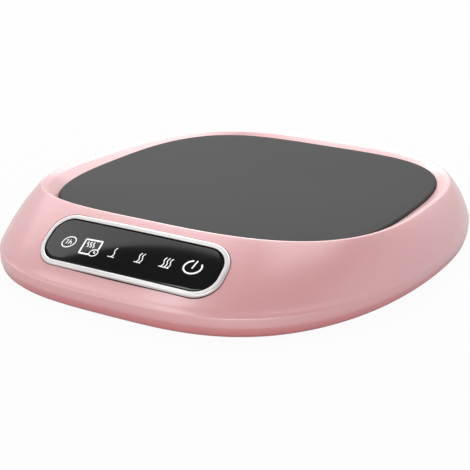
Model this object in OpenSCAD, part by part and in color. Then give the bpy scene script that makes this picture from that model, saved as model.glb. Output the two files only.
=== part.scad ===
// Electric mug warmer: a low, rounded-square housing with a sloping front apron that
// carries a touch panel, and a heated glass plate that floats on four springs so that
// the weight of a mug closes a switch beneath it.
// Millimetres. X to the right, Y to the rear, Z up. The origin is on the table, under
// the middle of the housing.

/* [Body] */
// Reach of the shoulder beyond the glass, at the sides
side_reach = 12.6; // [12:0.1:20]
// Reach of the apron's shoulder beyond the glass, at the front
apron_reach = 26.6; // [25:0.1:36]
// Reach of the shoulder beyond the glass, at the rear
rear_reach = 14; // [13:0.1:24]
// Height of the glass above the table
plate_top = 16.4; // [15.8:0.1:20]
// Height of the shoulder, where the slope turns into the lower band
shoulder_z = 6; // [5:0.1:7]
// Wall of the housing
wall = 2.2; // [1.6:0.1:2.6]
// Outward swell of the sloping sides
side_swell = 0.9; // [0:0.1:1.6]
// Tuck of the lower band under the shoulder
band_tuck = 1.6; // [1:0.1:2.4]

/* [Rim] */
// Distance from the glass edge out to the crest of the rim
rim_w = 4.6; // [3.6:0.1:6]
// Height of the crest over the glass, at the plate's centre line
rim_h = 2.4; // [1.6:0.1:4]
// Rise of the crest towards the front, per millimetre
rim_rise = 0.029; // [0:0.001:0.04]
// Gap between the glass gasket and the well that it floats in
well_gap = 0.5; // [0.3:0.05:1]

/* [Plate] */
// Width of the glass plate
plate_w = 104; // [98:0.5:108]
// Depth of the glass plate
plate_d = 109.2; // [102:0.2:112]
// Thickness of the glass
glass_t = 3; // [2.4:0.1:3.4]
// Wall of the silicone gasket round the glass
gasket_t = 0.6; // [0.4:0.1:1]
// Travel of the plate onto its switch
plate_travel = 1; // [0.6:0.1:1.2]
// Thickness of the aluminium heat spreader
spreader_t = 1.5; // [1:0.1:1.8]
// Thickness of the etched-foil heating element
element_t = 0.4; // [0.3:0.05:0.6]
// Thickness of the insulation pad
pad_t = 1.5; // [1:0.1:1.6]
// Floor of the carrier tray
carrier_t = 1.2; // [1:0.1:1.4]

/* [Guides and springs] */
// Distance of the guide pins from the plate's centre, along X and along Y
guide_pitch = 34; // [32:0.5:34.5]
// Diameter of the guide pins
pin_d = 4; // [3:0.1:5]
// Wall of the guide sleeves
sleeve_wall = 1.35; // [1:0.05:1.6]
// Wire of the plate springs
spring_wire = 0.7; // [0.5:0.05:0.9]
// Turns of the plate springs
spring_turns = 4.5; // [3:0.5:5]

/* [Touch panel] */
// Width of the chrome bezel
bezel_w = 56.4; // [54:0.2:60]
// Height of the chrome bezel, along the slope
bezel_h = 16.9; // [16:0.1:17.4]
// Corner radius of the bezel
bezel_r = 7.1; // [5:0.1:8]
// Visible width of the bezel's rim
bezel_rim = 1.4; // [1:0.1:2]
// Shift of the panel to the right
panel_shift = 1.2; // [0:0.1:2]
// Place of the panel on the slope, from the crest (0) to the shoulder (1)
panel_along = 0.458; // [0.45:0.002:0.49]
// Number of touch keys
key_count = 6; // [3:1:6]
// Spacing of the touch keys
key_pitch = 7.8; // [7.4:0.05:8]
// Shift of the row of keys on the panel
key_shift = 0.2; // [-1:0.1:1]

/* [Base] */
// Thickness of the base cover
base_t = 2; // [1.6:0.1:2.4]
// Height that the feet stand proud
foot_proud = 1.2; // [0.8:0.1:2]
// Diameter of the feet
foot_d = 12; // [8:0.5:12.5]
// Ventilation slots in each bank
vent_count = 6; // [2:1:8]
// Width of a ventilation slot
vent_w = 1.6; // [1:0.1:2]

/* [Cord inlet] */
// Bore of the cord grommet
cord_bore_d = 5.5; // [4:0.1:6]
// Height of the bore over the table
cord_z = 8.8; // [8.8:0.1:9.4]

/* [Hidden] */

pink = "#e9c0c0";
graphite = "#5e5e60";
silver = "#d8d8da";
black = "#202022";
steel = "#b4b6ba";
board_green = "#1f6b46";
copper = "#b87848";
white = "#f0efeb";
red = "#b03028";
cream = "#e6dcc0";

ring_n = 72;            // points round each outline
overlap = 0.02;         // depth by which joined solids share material
fit = 0.15;             // gap round a piece that drops into a pocket
run_fit = 0.05;         // radial gap of a pin that slides in a sleeve
seat = 0.05;            // gap between faces that meet on different bodies

// Outlines are superellipses. The two numbers are the exponents along X and along Y.
plate_shape = [3.85, 2.72];
crest_shape = [3.1, 2.86];
shoulder_shape = [3.23, 2.1];
crest_shift = -0.94;    // the rim's outline sits a little forward of the glass
rim_saddle = 0.00023;   // dip of the crest at the sides, per square millimetre

body_w = plate_w + 2 * side_reach;
front_reach = plate_d / 2 + apron_reach;
back_reach = plate_d / 2 + rear_reach;
plate_y = (front_reach - back_reach) / 2;
base_z = foot_proud;
inside_z = base_z + base_t;
skirt_in = wall + 2.2;
skirt_z = base_z / 3;   // the housing's lower edge hangs over the base cover

// Heights of the floating stack, from the glass down
glass_z = plate_top - glass_t;
spreader_z = glass_z - spreader_t;
element_z = spreader_z - element_t;
pad_z = element_z - pad_t;
carrier_z = pad_z - carrier_t;
ledge_t = 1.5;
gasket_lip = 0.4;
ledge_top = glass_z - gasket_lip - plate_travel - 0.2;
ledge_z = ledge_top - ledge_t;

// Half sizes of the stack's outlines
plate_hx = plate_w / 2;
plate_hy = plate_d / 2;
well_hx = plate_hx + gasket_t + well_gap;
well_hy = plate_hy + gasket_t + well_gap;
well_wall = 1.6;
spreader_inset = 10;
ledge_inset = 8;
carrier_inset = 5;
carrier_rim = 2.6;

//// Outline and loft tools

// Signed power: keeps the sign of v
function spow(v, p) = sign(v) * pow(abs(v), p);

// Superellipse with half width hx, and half depths front (towards -Y) and back
function squircle(hx, front, back, shape, shift = 0) = [
  for (i = [0:ring_n - 1])
    let (t = 360 * i / ring_n, c = cos(t), s = sin(t))
      [hx * spow(c, 2 / shape[0]),
       plate_y + shift + (s < 0 ? front : back) * spow(s, 2 / shape[1])]
];

// An outline of the plate's shape, drawn in from the glass edge by inset
function plate_outline(inset) =
  squircle(plate_hx - inset, plate_hy - inset, plate_hy - inset, plate_shape);

// The shoulder's outline, drawn in by inset
function shoulder_outline(inset) =
  squircle(body_w / 2 - inset, front_reach - inset, back_reach - inset, shoulder_shape);

function lift(ring, z) = [for (p = ring) [p[0], p[1], z]];

// Height of the crest over a point of its outline
function crest_height(x, y) =
  plate_top + rim_h - rim_rise * (y - plate_y)
  - rim_saddle * (x * x - (y - plate_y) * (y - plate_y));

rim_extra = 0.86;       // the rim is this much wider at the front and rear
crest_hy = plate_hy + rim_w + rim_extra;
crest_flat = squircle(plate_hx + rim_w, crest_hy, crest_hy, crest_shape, crest_shift);
crest = [for (p = crest_flat) [p[0], p[1], crest_height(p[0], p[1])]];
shoulder = lift(shoulder_outline(0), shoulder_z);

// Direction that faces out of the slope below crest point i: [x, y, z]
function slope_normal(i) =
  let (run = [shoulder[i][0] - crest[i][0], shoulder[i][1] - crest[i][1]],
       reach = norm(run), fall = crest[i][2] - shoulder_z, a = atan2(fall, reach))
    [run[0] / reach * sin(a), run[1] / reach * sin(a), cos(a)];

// Where the middle of the panel lies
crest_front = [plate_y + crest_shift - crest_hy,
               crest_height(0, plate_y + crest_shift - crest_hy)];
shoulder_front = [plate_y - front_reach, shoulder_z];
panel_lean = 2.1;       // the panel lies this much flatter than the apron's chord
panel_tilt = atan2(crest_front[1] - shoulder_z, crest_front[0] - shoulder_front[0])
             - panel_lean;
panel_swell = side_swell * 4 * panel_along * (1 - panel_along);
panel_y = crest_front[0] * (1 - panel_along) + shoulder_front[0] * panel_along
          - panel_swell * sin(panel_tilt);
panel_z = crest_front[1] * (1 - panel_along) + shoulder_front[1] * panel_along
          + panel_swell * cos(panel_tilt);
panel_bend_r = 225;     // the panel is bent round the front of the housing ...
panel_arch_r = 450;     // ... and its outline rises towards its ends

function panel_drop(x) = x * x / (2 * panel_bend_r);
function panel_arch(x) = x * x / (2 * panel_arch_r);

// Swollen slope between crest and shoulder at share w
function slope_point(i, w) =
  crest[i] * (1 - w) + shoulder[i] * w + side_swell * 4 * w * (1 - w) * slope_normal(i);

// One ring of the slope, sunk into the wall by depth
function slope_ring(w, depth = 0) = [
  for (i = [0:ring_n - 1]) slope_point(i, w) - depth * slope_normal(i)
];

// Solid skinned over stacked rings, given from the bottom up
module skin(rings) {
  last = len(rings) - 1;
  polyhedron(
    points = [for (r = rings) each r],
    faces = concat(
      [[for (i = [0:ring_n - 1]) i]],
      [for (k = [0:last - 1], i = [0:ring_n - 1])
        [k * ring_n + i, (k + 1) * ring_n + (i + 1) % ring_n, k * ring_n + (i + 1) % ring_n]],
      [for (k = [0:last - 1], i = [0:ring_n - 1])
        [k * ring_n + i, (k + 1) * ring_n + i, (k + 1) * ring_n + (i + 1) % ring_n]],
      [[for (i = [ring_n - 1:-1:0]) last * ring_n + i]]
    ),
    convexity = 4
  );
}

// Solid of ring shape whose section is the closed loop of rings, down on the outside
module hoop(rings) {
  n = len(rings);
  polyhedron(
    points = [for (r = rings) each r],
    faces = concat(
      [for (k = [0:n - 1], i = [0:ring_n - 1])
        [k * ring_n + i, k * ring_n + (i + 1) % ring_n,
         ((k + 1) % n) * ring_n + (i + 1) % ring_n]],
      [for (k = [0:n - 1], i = [0:ring_n - 1])
        [k * ring_n + i, ((k + 1) % n) * ring_n + (i + 1) % ring_n,
         ((k + 1) % n) * ring_n + i]]
    ),
    convexity = 8
  );
}

// Flat sheet of an outline
module sheet(outline, z, t) {
  translate([0, 0, z]) linear_extrude(t) polygon(outline);
}

// Rectangle with round corners, centred
module rounded(w, h, r) {
  square([w - 2 * r, h], center = true);
  square([w, h - 2 * r], center = true);
  for (sx = [-1, 1], sy = [-1, 1])
    translate([sx * (w / 2 - r), sy * (h / 2 - r)]) circle(r, $fn = 48);
}

// Block centred on X and Y, from z upwards
module block(size, at) {
  translate([at[0] - size[0] / 2, at[1] - size[1] / 2, at[2]]) cube(size);
}

module post(d, z, h, at = [0, 0]) {
  translate([at[0], at[1], z]) cylinder(d = d, h = h, $fn = 48);
}

// Screw with its head at the bottom, driven upwards
module screw_up(d, head_d, head_h, length, z, at) {
  post(head_d, z, head_h, at);
  post(d, z + head_h - overlap, length + overlap, at);
}

module at_guides() {
  for (sx = [-1, 1], sy = [-1, 1])
    translate([sx * guide_pitch, plate_y + sy * guide_pitch, 0]) children();
}

// The panel's frame: X along the panel, Y up the slope, Z out of the face
module on_panel() {
  translate([panel_shift, panel_y, panel_z]) rotate([panel_tilt, 0, 0]) children();
}

// Outline with round corners that follows the arch of the panel
function corner(w, h, r, k) = [
  for (j = [0:6])
    let (a = 90 * k + 15 * j, sx = (k == 0 || k == 3) ? 1 : -1, sy = (k < 2) ? 1 : -1)
      [sx * (w / 2 - r) + r * cos(a), sy * (h / 2 - r) + r * sin(a)]
];
function side(w, r, y, s) = [for (j = [1:9]) [s * (1 - j / 5) * (w / 2 - r), y]];
function arched(w, h, r) = [
  for (p = concat(corner(w, h, r, 0), side(w, r, h / 2, 1), corner(w, h, r, 1),
                  corner(w, h, r, 2), side(w, r, -h / 2, -1), corner(w, h, r, 3)))
    [p[0], p[1] + panel_arch(p[0])]
];

// Everything under the panel's bent surface, raised by z, in the panel's frame
module under_bend(z) {
  translate([0, 0, -panel_bend_r]) rotate([90, 0, 0])
    cylinder(r = panel_bend_r + z, h = 60, center = true, $fn = 240);
}

// Piece of the panel's outline between height z0 and the bent surface raised by z1
module bent_top(w, h, r, z0, z1) {
  intersection() {
    translate([0, 0, z0]) linear_extrude(z1 - z0 + 1) polygon(arched(w, h, r));
    under_bend(z1);
  }
}

key_x = [for (k = [0:key_count - 1]) key_shift + (k - (key_count - 1) / 2) * key_pitch];

// Tube of diameter d along a route of points
function unit(v) = v / norm(v);
function route_dir(r, k) =
  unit(r[min(k + 1, len(r) - 1)] - r[max(k - 1, 0)]);
module tube(route, d, sides = 8, up = [0.13, 0.07, 1]) {
  last = len(route) - 1;
  points = [
    for (k = [0:last])
      let (t = route_dir(route, k), a = unit(cross(t, up)), b = cross(a, t))
        for (j = [0:sides - 1])
          route[k] + d / 2 * (cos(360 * j / sides) * a + sin(360 * j / sides) * b)
  ];
  polyhedron(
    points = points,
    faces = concat(
      [[for (j = [sides - 1:-1:0]) j]],
      [for (k = [0:last - 1], j = [0:sides - 1])
        [k * sides + j, k * sides + (j + 1) % sides, (k + 1) * sides + (j + 1) % sides]],
      [for (k = [0:last - 1], j = [0:sides - 1])
        [k * sides + j, (k + 1) * sides + (j + 1) % sides, (k + 1) * sides + j]],
      [[for (j = [0:sides - 1]) last * sides + j]]
    ),
    convexity = 6
  );
}

// Coil of round wire between z0 and z1, measured over the wire
function coil_route(r, wire, turns, z0, z1, steps = 12) = [
  for (k = [0:turns * steps])
    let (a = 360 * k / steps, w = k / (turns * steps))
      [r * cos(a), r * sin(a), z0 + wire / 2 + w * (z1 - z0 - wire)]
];

//// Housing

band_z = skirt_z + 3;   // the band turns under below this height
turn_z = skirt_z + 1;
well_top = plate_top - 0.7;
well_lip = 0.62;        // share of the rim's inner slope that is drawn in ...
well_lip_rise = 0.25;   // ... and its swell there
ridge_drop = 4.4;       // solid depth of the ridge under the crest
hollow_shares = [0.22, 0.42, 0.64, 0.84];

// Points of the housing's section, from the crest round the outside and back inside
function shell_rings() = concat(
  [crest],
  [for (w = [0.06, 0.2, 0.4, 0.6, 0.8, 1]) slope_ring(w)],
  [lift(shoulder_outline(0.05), band_z),
   lift(shoulder_outline(band_tuck * 0.35), turn_z),
   lift(shoulder_outline(band_tuck), skirt_z),
   lift(shoulder_outline(skirt_in), skirt_z),
   lift(shoulder_outline(skirt_in), inside_z + 0.2),
   lift(shoulder_outline(wall + 0.2), shoulder_z - 0.4)],
  [for (k = [3:-1:0]) slope_ring(hollow_shares[k], wall)],
  [[for (p = well_face(well_wall)) [p[0], p[1], crest_height(p[0], p[1]) - ridge_drop]],
   lift(well_face(well_wall), ledge_z),
   lift(plate_outline(ledge_inset), ledge_z),
   lift(plate_outline(ledge_inset), ledge_top),
   lift(well_face(0), ledge_top),
   lift(well_face(0), well_top)],
  [[for (i = [0:ring_n - 1])
     let (a = well_face(0)[i], c = crest[i], w = well_lip)
       [a[0] * (1 - w) + c[0] * w, a[1] * (1 - w) + c[1] * w,
        well_top * (1 - w) + c[2] * w + well_lip_rise]]]
);

function well_face(out) = squircle(well_hx + out, well_hy + out, well_hy + out, plate_shape);

// Screw bosses that hold the base cover stand under the ledge, at these outline points
boss_d = 6.4;
boss_bore = 2.6;
boss_points = [9, 27, 46, 62];
function boss_at(i) = plate_outline(-1.5)[i];
boss_top = ledge_z + 0.5;

gland_y = plate_y + back_reach;
gland_r = cord_bore_d / 2 + 1.2;
collar_r = gland_r + 0.8;
collar_t = 2.7;
gland_wall = 3.4;
gland_seat_y = gland_y - collar_t;

module along_y(d, y0, y1) {
  translate([0, y0, cord_z]) rotate([-90, 0, 0]) cylinder(d = d, h = y1 - y0, $fn = 64);
}

// Everything inside the rear slope, set in by depth
module behind_slope(depth) {
  crest_back = crest[ring_n / 4];
  lean = atan2(gland_y - crest_back[1], crest_back[2] - shoulder_z);
  translate([0, gland_y, shoulder_z]) rotate([lean, 0, 0])
    translate([-20, -60 - depth, -40]) cube([40, 60, 80]);
}

board_boss_d = 4.2;
board_boss_h = 1.8;
board_boss_bore = 1.7;
board_boss_x = bezel_w / 2 + board_boss_d / 2 + 0.35;
board_boss_y = panel_arch(board_boss_x);
board_z = -5.4;         // top of the touch board, in the panel's frame

module top_shell() {
  color(pink) difference() {
    union() {
      hoop(shell_rings());
      for (i = boss_points)
        post(boss_d, inside_z, boss_top - inside_z, boss_at(i));
      on_panel() for (s = [-1, 1])
        post(board_boss_d, board_z, board_boss_h, [s * board_boss_x, board_boss_y]);
      intersection() {
        along_y(2 * collar_r + 1.2, gland_seat_y - gland_wall, gland_seat_y);
        behind_slope(0.4);
      }
    }
    on_panel() translate([0, 0, board_z - overlap]) linear_extrude(12)
      polygon(arched(bezel_w + 2 * fit, bezel_h + 2 * fit, bezel_r + fit));
    on_panel() for (s = [-1, 1])
      post(board_boss_bore, board_z - 1, board_boss_h + 0.8, [s * board_boss_x, board_boss_y]);
    for (i = boss_points)
      post(boss_bore, inside_z - 1, boss_top - inside_z, boss_at(i));
    along_y(2 * gland_r + 0.1, gland_seat_y - gland_wall - 3, gland_y + 3);
    along_y(2 * gland_r + 1.8, gland_seat_y - gland_wall - 3, gland_seat_y - gland_wall);
    along_y(2 * collar_r + 0.8, gland_seat_y, gland_y + 6);
  }
}

sleeve_d = pin_d + 2 * run_fit + 2 * sleeve_wall;
sleeve_top = carrier_z - plate_travel - 0.3;
stop_head_d = pin_d + 1.6;
stop_head_h = 1;
stop_recess = stop_head_h + plate_travel + 0.3;
stop_shelf = base_z + stop_recess;
stop_collar = 1.3;      // wall of the collar round each stop's recess
standoff_d = 4.4;
standoff_h = 1;
board_screw_d = 1.8;
board_t = 1;
power_z = inside_z + standoff_h;
power_w = plate_w - 24;
power_d = 15;
carrier_clear = 1.9;
power_y = plate_y - plate_hy + carrier_inset - carrier_clear - power_d / 2;
power_holes = [for (sx = [-1, 1], sy = [-1, 1])
  [sx * (power_w / 2 - 3), power_y + sy * (power_d / 2 - 2.5)]];
terminal_size = [13, 7, 6];
gland_lip = 1.2;
terminal_y = gland_seat_y - gland_wall - gland_lip - 0.6 - terminal_size[1] / 2;
foot_recess = 0.7;
rear_foot = boss_at(boss_points[0]) - [0.7, 9.6];
feet = [for (s = [-1, 1]) each
  [[s * (plate_hx - 17), plate_y - front_reach + 24.4], [s * rear_foot[0], rear_foot[1]]]];
vent_l = 20;
vent_x = 14;
vent_step = vent_w + 2;
label_recess = [42, 20, 0.3];
label_y = plate_y - 38;
cover_gap = 0.25;
shell_screw_d = boss_bore - 0.1;
shell_screw_head = 5.4;
shell_screw_head_h = 1;
shell_screw_sink = 0.1;

module base_cover() {
  color(pink) difference() {
    union() {
      sheet(shoulder_outline(skirt_in + cover_gap), base_z, base_t);
      at_guides() {
        post(sleeve_d, inside_z - overlap, sleeve_top - inside_z + overlap);
        post(stop_head_d + 2 * stop_collar, inside_z - overlap, stop_shelf + 1 - inside_z);
      }
      for (p = power_holes)
        post(standoff_d, inside_z - overlap, standoff_h + overlap, p);
    }
    at_guides() {
      post(pin_d + 2 * run_fit, base_z, plate_top);
      post(stop_head_d + 0.6, base_z - 1, stop_recess + 1);
    }
    for (p = power_holes)
      post(board_screw_d, base_z + 1, 5, p);
    for (i = boss_points) {
      post(shell_screw_d + 0.8, base_z - 1, base_t + 2, boss_at(i));
      post(shell_screw_head + 0.6, base_z - 1, 1 + shell_screw_sink + shell_screw_head_h,
           boss_at(i));
    }
    for (p = feet)
      post(foot_d + 0.2, base_z - 1, 1 + foot_recess, p);
    for (s = [-1, 1], k = [0:vent_count - 1])
      translate([s * vent_x, plate_y + (k - (vent_count - 1) / 2) * vent_step, base_z - 1])
        linear_extrude(base_t + 2) rounded(vent_l, vent_w, vent_w / 2 - 0.01);
    block([label_recess[0], label_recess[1], label_recess[2] + 1], [0, label_y, base_z - 1]);
  }
}

module rubber_feet() {
  step_z = foot_proud * 0.35;
  color(black) for (p = feet) {
    post(foot_d, step_z, foot_proud + foot_recess - step_z, p);
    post(foot_d - 1, 0, step_z + overlap, p);
  }
}

module shell_screws() {
  color(steel) for (i = boss_points)
    screw_up(shell_screw_d, shell_screw_head, shell_screw_head_h, boss_top - base_z - 2.6,
             base_z + shell_screw_sink, boss_at(i));
}

//// Floating plate

module heating_plate() {
  color(graphite) skin([
    lift(plate_outline(0), glass_z),
    lift(plate_outline(0), plate_top - 0.5),
    lift(plate_outline(0.15), plate_top - 0.15),
    lift(plate_outline(0.5), plate_top)
  ]);
}

module plate_gasket() {
  color(black) difference() {
    sheet(plate_outline(-gasket_t), glass_z - gasket_lip, glass_t + gasket_lip - 0.6);
    sheet(plate_outline(0), glass_z, glass_t);
    sheet(plate_outline(2.4), glass_z - 1, glass_t);
  }
}

carrier_screw_d = 2;
clip_screw_d = 1.6;
tap_skin = 0.3;         // metal left over the blind tapped holes
module heat_spreader() {
  color(silver) difference() {
    sheet(plate_outline(spreader_inset), spreader_z, spreader_t);
    for (p = carrier_holes)
      post(carrier_screw_d, spreader_z - 1, 1 + spreader_t - tap_skin, p);
    for (s = [-1, 1])
      post(clip_screw_d, spreader_z - 1, 1 + spreader_t - tap_skin, [s * clip_x, plate_y]);
  }
}

window_d = 30;          // clear middle of the element, where the sensors sit
lead_x = [-23, -19];
lead_y = plate_y - 38;
carrier_holes = [for (sx = [-1, 1], sy = [-1, 1]) [sx * 22, plate_y + sy * 26]];
clip_x = 9.5;

module heating_element() {
  color(copper) difference() {
    sheet(plate_outline(spreader_inset + 1), element_z, element_t);
    post(window_d, element_z - 1, 3, [0, plate_y]);
    for (p = carrier_holes)
      post(carrier_screw_d + 3, element_z - 1, 3, p);
  }
}

module insulation_pad() {
  color(cream) difference() {
    sheet(plate_outline(spreader_inset + 1), pad_z, pad_t);
    post(window_d, pad_z - 1, 4, [0, plate_y]);
    for (p = carrier_holes)
      post(carrier_screw_d + 1, pad_z - 1, 4, p);
    lead_slot(pad_z);
  }
}

module lead_slot(z) {
  block([9, 5, 4], [(lead_x[0] + lead_x[1]) / 2, lead_y, z - 1]);
}

tab_y = plate_y - plate_hy + carrier_inset;
tab_reach = 6;
tab_w = 8;
tab_x = 22;
module plate_carrier() {
  color(white) {
    difference() {
      union() {
        sheet(plate_outline(carrier_inset), carrier_z, ledge_z - seat - carrier_z);
        block([tab_w, tab_reach + 4, carrier_t], [tab_x, tab_y - tab_reach / 2 + 2, carrier_z]);
        at_guides() post(pin_d, stop_shelf - seat, carrier_z - stop_shelf + seat + overlap);
      }
      at_guides() post(stop_screw_d + 0.1, 0, stop_shelf + stop_screw_l);
      sheet(plate_outline(carrier_inset + carrier_rim), pad_z, 10);
      post(window_d - 4, carrier_z - 1, 4, [0, plate_y]);
      for (p = carrier_holes)
        post(carrier_screw_d + 0.3, carrier_z - 1, 4, p);
      lead_slot(carrier_z);
    }
  }
}

// Screws under the guide pins, whose heads stop the plate's rise
stop_screw_d = 2;
stop_screw_l = 4;
module stop_screws() {
  color(steel) at_guides()
    screw_up(stop_screw_d, stop_head_d, stop_head_h, stop_screw_l - 0.5,
             stop_shelf - seat - stop_head_h, [0, 0]);
}

carrier_head_h = 0.9;
module carrier_screws() {
  color(steel) for (p = carrier_holes)
    screw_up(carrier_screw_d, 2 * carrier_screw_d, carrier_head_h,
             spreader_z + spreader_t - tap_skin - 0.1 - carrier_z, carrier_z - carrier_head_h, p);
}

spring_r = stop_head_d / 2 + stop_collar + 0.25 + spring_wire / 2;
module plate_springs() {
  color(steel) at_guides()
    tube(coil_route(spring_r, spring_wire, spring_turns, inside_z, carrier_z),
         spring_wire, 6);
}

sensor_d = 2.4;
sensor_l = 7;
fuse_d = 2.8;
fuse_l = 9;
sensor_x = -3.4;
fuse_x = 3.2;
clip_t = 0.5;
clip_w = 4.4;
clip_head_h = 0.7;
clip_z = spreader_z - fuse_d - clip_t;
module along_plate_y(d, length, x, z) {
  translate([x, plate_y + length / 2, z]) rotate([90, 0, 0])
    cylinder(d = d, h = length, $fn = 32);
}

module temperature_sensor() {
  color(red) along_plate_y(sensor_d, sensor_l, sensor_x, spreader_z - sensor_d / 2);
}

module thermal_fuse() {
  color(steel) {
    along_plate_y(fuse_d, fuse_l, fuse_x, spreader_z - fuse_d / 2);
    along_plate_y(0.8, fuse_l + 6, fuse_x, spreader_z - fuse_d / 2);
  }
}

module sensor_clip() {
  color(silver) difference() {
    union() {
      block([2 * clip_x + clip_w, clip_w, clip_t], [0, plate_y, clip_z]);
      for (s = [-1, 1])
        post(clip_w - 0.4, clip_z, spreader_z - clip_z, [s * clip_x, plate_y]);
      block([sensor_d, clip_w, fuse_d - sensor_d + overlap],
            [sensor_x, plate_y, clip_z + clip_t - overlap]);
    }
    for (s = [-1, 1])
      post(clip_screw_d + 0.3, clip_z - 1, 6, [s * clip_x, plate_y]);
  }
}

module clip_screws() {
  color(steel) for (s = [-1, 1])
    screw_up(clip_screw_d, clip_w - 1, clip_head_h,
             spreader_z + spreader_t - tap_skin - 0.2 - clip_z, clip_z - clip_head_h,
             [s * clip_x, plate_y]);
}

//// Gravity switch

board_top = power_z + board_t;
switch_y = tab_y - tab_reach + 2.6;
plunger_d = 3;
switch_w = 6;
switch_floor = 0.15;
switch_h = carrier_z - plate_travel - 0.3 - board_top;
module gravity_switch() {
  color(black) difference() {
    block([switch_w, switch_w, switch_h], [tab_x, switch_y, board_top]);
    post(plunger_d + 2 * run_fit, board_top + switch_floor, switch_h + 1, [tab_x, switch_y]);
  }
}

module switch_plunger() {
  z0 = board_top + switch_floor + plate_travel + 0.1;
  color(white) post(plunger_d, z0, carrier_z - seat - z0, [tab_x, switch_y]);
}

//// Touch panel

bezel_proud = 0.5;
bezel_step = 0.25;      // the rim's edge steps down and in by this much
window_t = 1.6;
window_top = 0.3;
window_gap = 0.1;
window_w = bezel_w - 2 * bezel_rim;
window_h = bezel_h - 2 * bezel_rim;
window_r = bezel_r - bezel_rim;
shelf = 1.2;
window_z = window_top - window_t;
baffle_gap = 0.1;

module control_bezel() {
  color(silver) on_panel() difference() {
    union() {
      bent_top(bezel_w, bezel_h, bezel_r, board_z, bezel_proud - bezel_step);
      bent_top(bezel_w - 2 * bezel_step, bezel_h - 2 * bezel_step, bezel_r - bezel_step,
               board_z, bezel_proud);
    }
    difference() {
      translate([0, 0, board_z - 1]) linear_extrude(10)
        polygon(arched(window_w, window_h, window_r));
      under_bend(window_z);
    }
    translate([0, 0, board_z - 1]) linear_extrude(10)
      polygon(arched(window_w - 2 * shelf, window_h - 2 * shelf, window_r - shelf));
  }
}

module touch_window() {
  color(black) on_panel() difference() {
    bent_top(window_w - 2 * window_gap, window_h - 2 * window_gap, window_r - window_gap,
             board_z, window_top);
    under_bend(window_z);
  }
}

baffle_hole_d = 6.4;
module light_baffle() {
  color("#303032") on_panel() difference() {
    bent_top(window_w - 2 * shelf - 2 * baffle_gap, window_h - 2 * shelf - 2 * baffle_gap,
             window_r - shelf - baffle_gap, board_z, window_z);
    for (x = key_x)
      post(baffle_hole_d, board_z - 1, 8, [x, panel_arch(x)]);
  }
}

touch_h = 11.6;
ear_h = 4.4;
ear_reach = 1.6;        // how far each ear goes past its screw
module touch_board() {
  color(board_green) on_panel() difference() {
    translate([0, 0, board_z - board_t]) linear_extrude(board_t) {
      polygon(arched(bezel_w - 4, touch_h, 2));
      polygon(arched(2 * (board_boss_x + ear_reach), ear_h, ear_h / 2 - 0.05));
    }
    for (s = [-1, 1])
      post(board_boss_bore + 0.3, board_z - 3, 4, [s * board_boss_x, board_boss_y]);
  }
}

key_spring_r = 2.5;
key_wire = 0.4;
module touch_springs() {
  color(steel) on_panel() for (x = key_x)
    translate([x, panel_arch(x), 0])
      tube(coil_route(key_spring_r, key_wire, 3, board_z,
                      window_z - panel_drop(abs(x) + key_spring_r)), key_wire, 5);
}

led_size = [1.6, 0.8, 0.7];
module indicator_leds() {
  color(cream) on_panel() for (x = key_x)
    block(led_size, [x, panel_arch(x), board_z]);
}

chip_z = board_z - board_t;
chip_size = [5, 5, 1];
module touch_chip() {
  color(black) on_panel() block(chip_size, [-8, 0, chip_z - chip_size[2]]);
}

module touch_board_screws() {
  color(steel) on_panel() for (s = [-1, 1])
    screw_up(board_boss_bore - 0.1, 3.2, 0.8, board_t + board_boss_h - 0.4, chip_z - 0.8,
             [s * board_boss_x, board_boss_y]);
}

//// Electronics in the front bay

module power_board() {
  color(board_green) difference() {
    block([power_w, power_d, board_t], [0, power_y, power_z]);
    for (p = power_holes)
      post(board_screw_d + 0.6, power_z - 1, 4, p);
  }
}

module power_board_screws() {
  color(steel) for (p = power_holes) {
    post(board_screw_d + 2, board_top, 0.9, p);
    post(board_screw_d, base_z + 1, board_top - base_z - 1 + overlap, p);
  }
}

triac_x = 3;
triac_size = [6.5, 6.2, 2.2];
module heater_triac() {
  color(black) {
    block(triac_size, [triac_x, power_y, board_top]);
    for (s = [-1, 1])
      block([0.9, 3, 0.6], [triac_x + s * 2.3, power_y - triac_size[1] / 2 - 1.3, board_top]);
  }
  color(silver)
    block([triac_size[0] - 1.1, 1.4, 0.6],
          [triac_x, power_y + triac_size[1] / 2 + 0.6, board_top]);
}

film_size = [13, 6, 4.4];
module dropper_capacitor() {
  color("#c8a030") block(film_size, [-12, power_y, board_top]);
}

can_d = 4.2;
can_l = 8;
module smoothing_capacitor() {
  color("#283c78")
    translate([power_w / 2 - 9, power_y + can_l / 2, board_top + can_d / 2])
      rotate([90, 0, 0]) cylinder(d = can_d, h = can_l, $fn = 48);
}

mains_fuse_l = 10.2;
mains_fuse_d = 3.2;
mains_fuse_x = -power_w / 2 + 5.4;
module mains_fuse() {
  module barrel(d, x, length) {
    translate([x, power_y, board_top + mains_fuse_d / 2 + 0.2]) rotate([0, 90, 0])
      cylinder(d = d, h = length, $fn = 48);
  }
  color(cream) barrel(mains_fuse_d, mains_fuse_x + 0.5, mains_fuse_l - 1);
  color(silver) for (x = [0, mains_fuse_l - 2.2])
    barrel(mains_fuse_d + 0.4, mains_fuse_x + x, 2.2);
}

link_x = 12;
link_w = 6;
connector_h = 3;
inlet_x = -power_w / 2 + 8.6;
inlet_size = [6, 4.8, connector_h];
header_size = [8, 3.4, connector_h];
header_y = power_y + power_d / 2 - header_size[1] / 2 - 0.6;
header_x = [(lead_x[0] + lead_x[1]) / 2, sensor_x - 0.6, link_x];
panel_header = [8, 3, 1.8];
panel_header_y = -2;
module board_connectors() {
  color(white) {
    for (x = header_x)
      block(header_size, [x, header_y, board_top]);
    block(inlet_size, [inlet_x, power_y - inlet_size[1], board_top]);
    on_panel() block(panel_header, [link_x, panel_header_y, chip_z - panel_header[2]]);
  }
}

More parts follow.
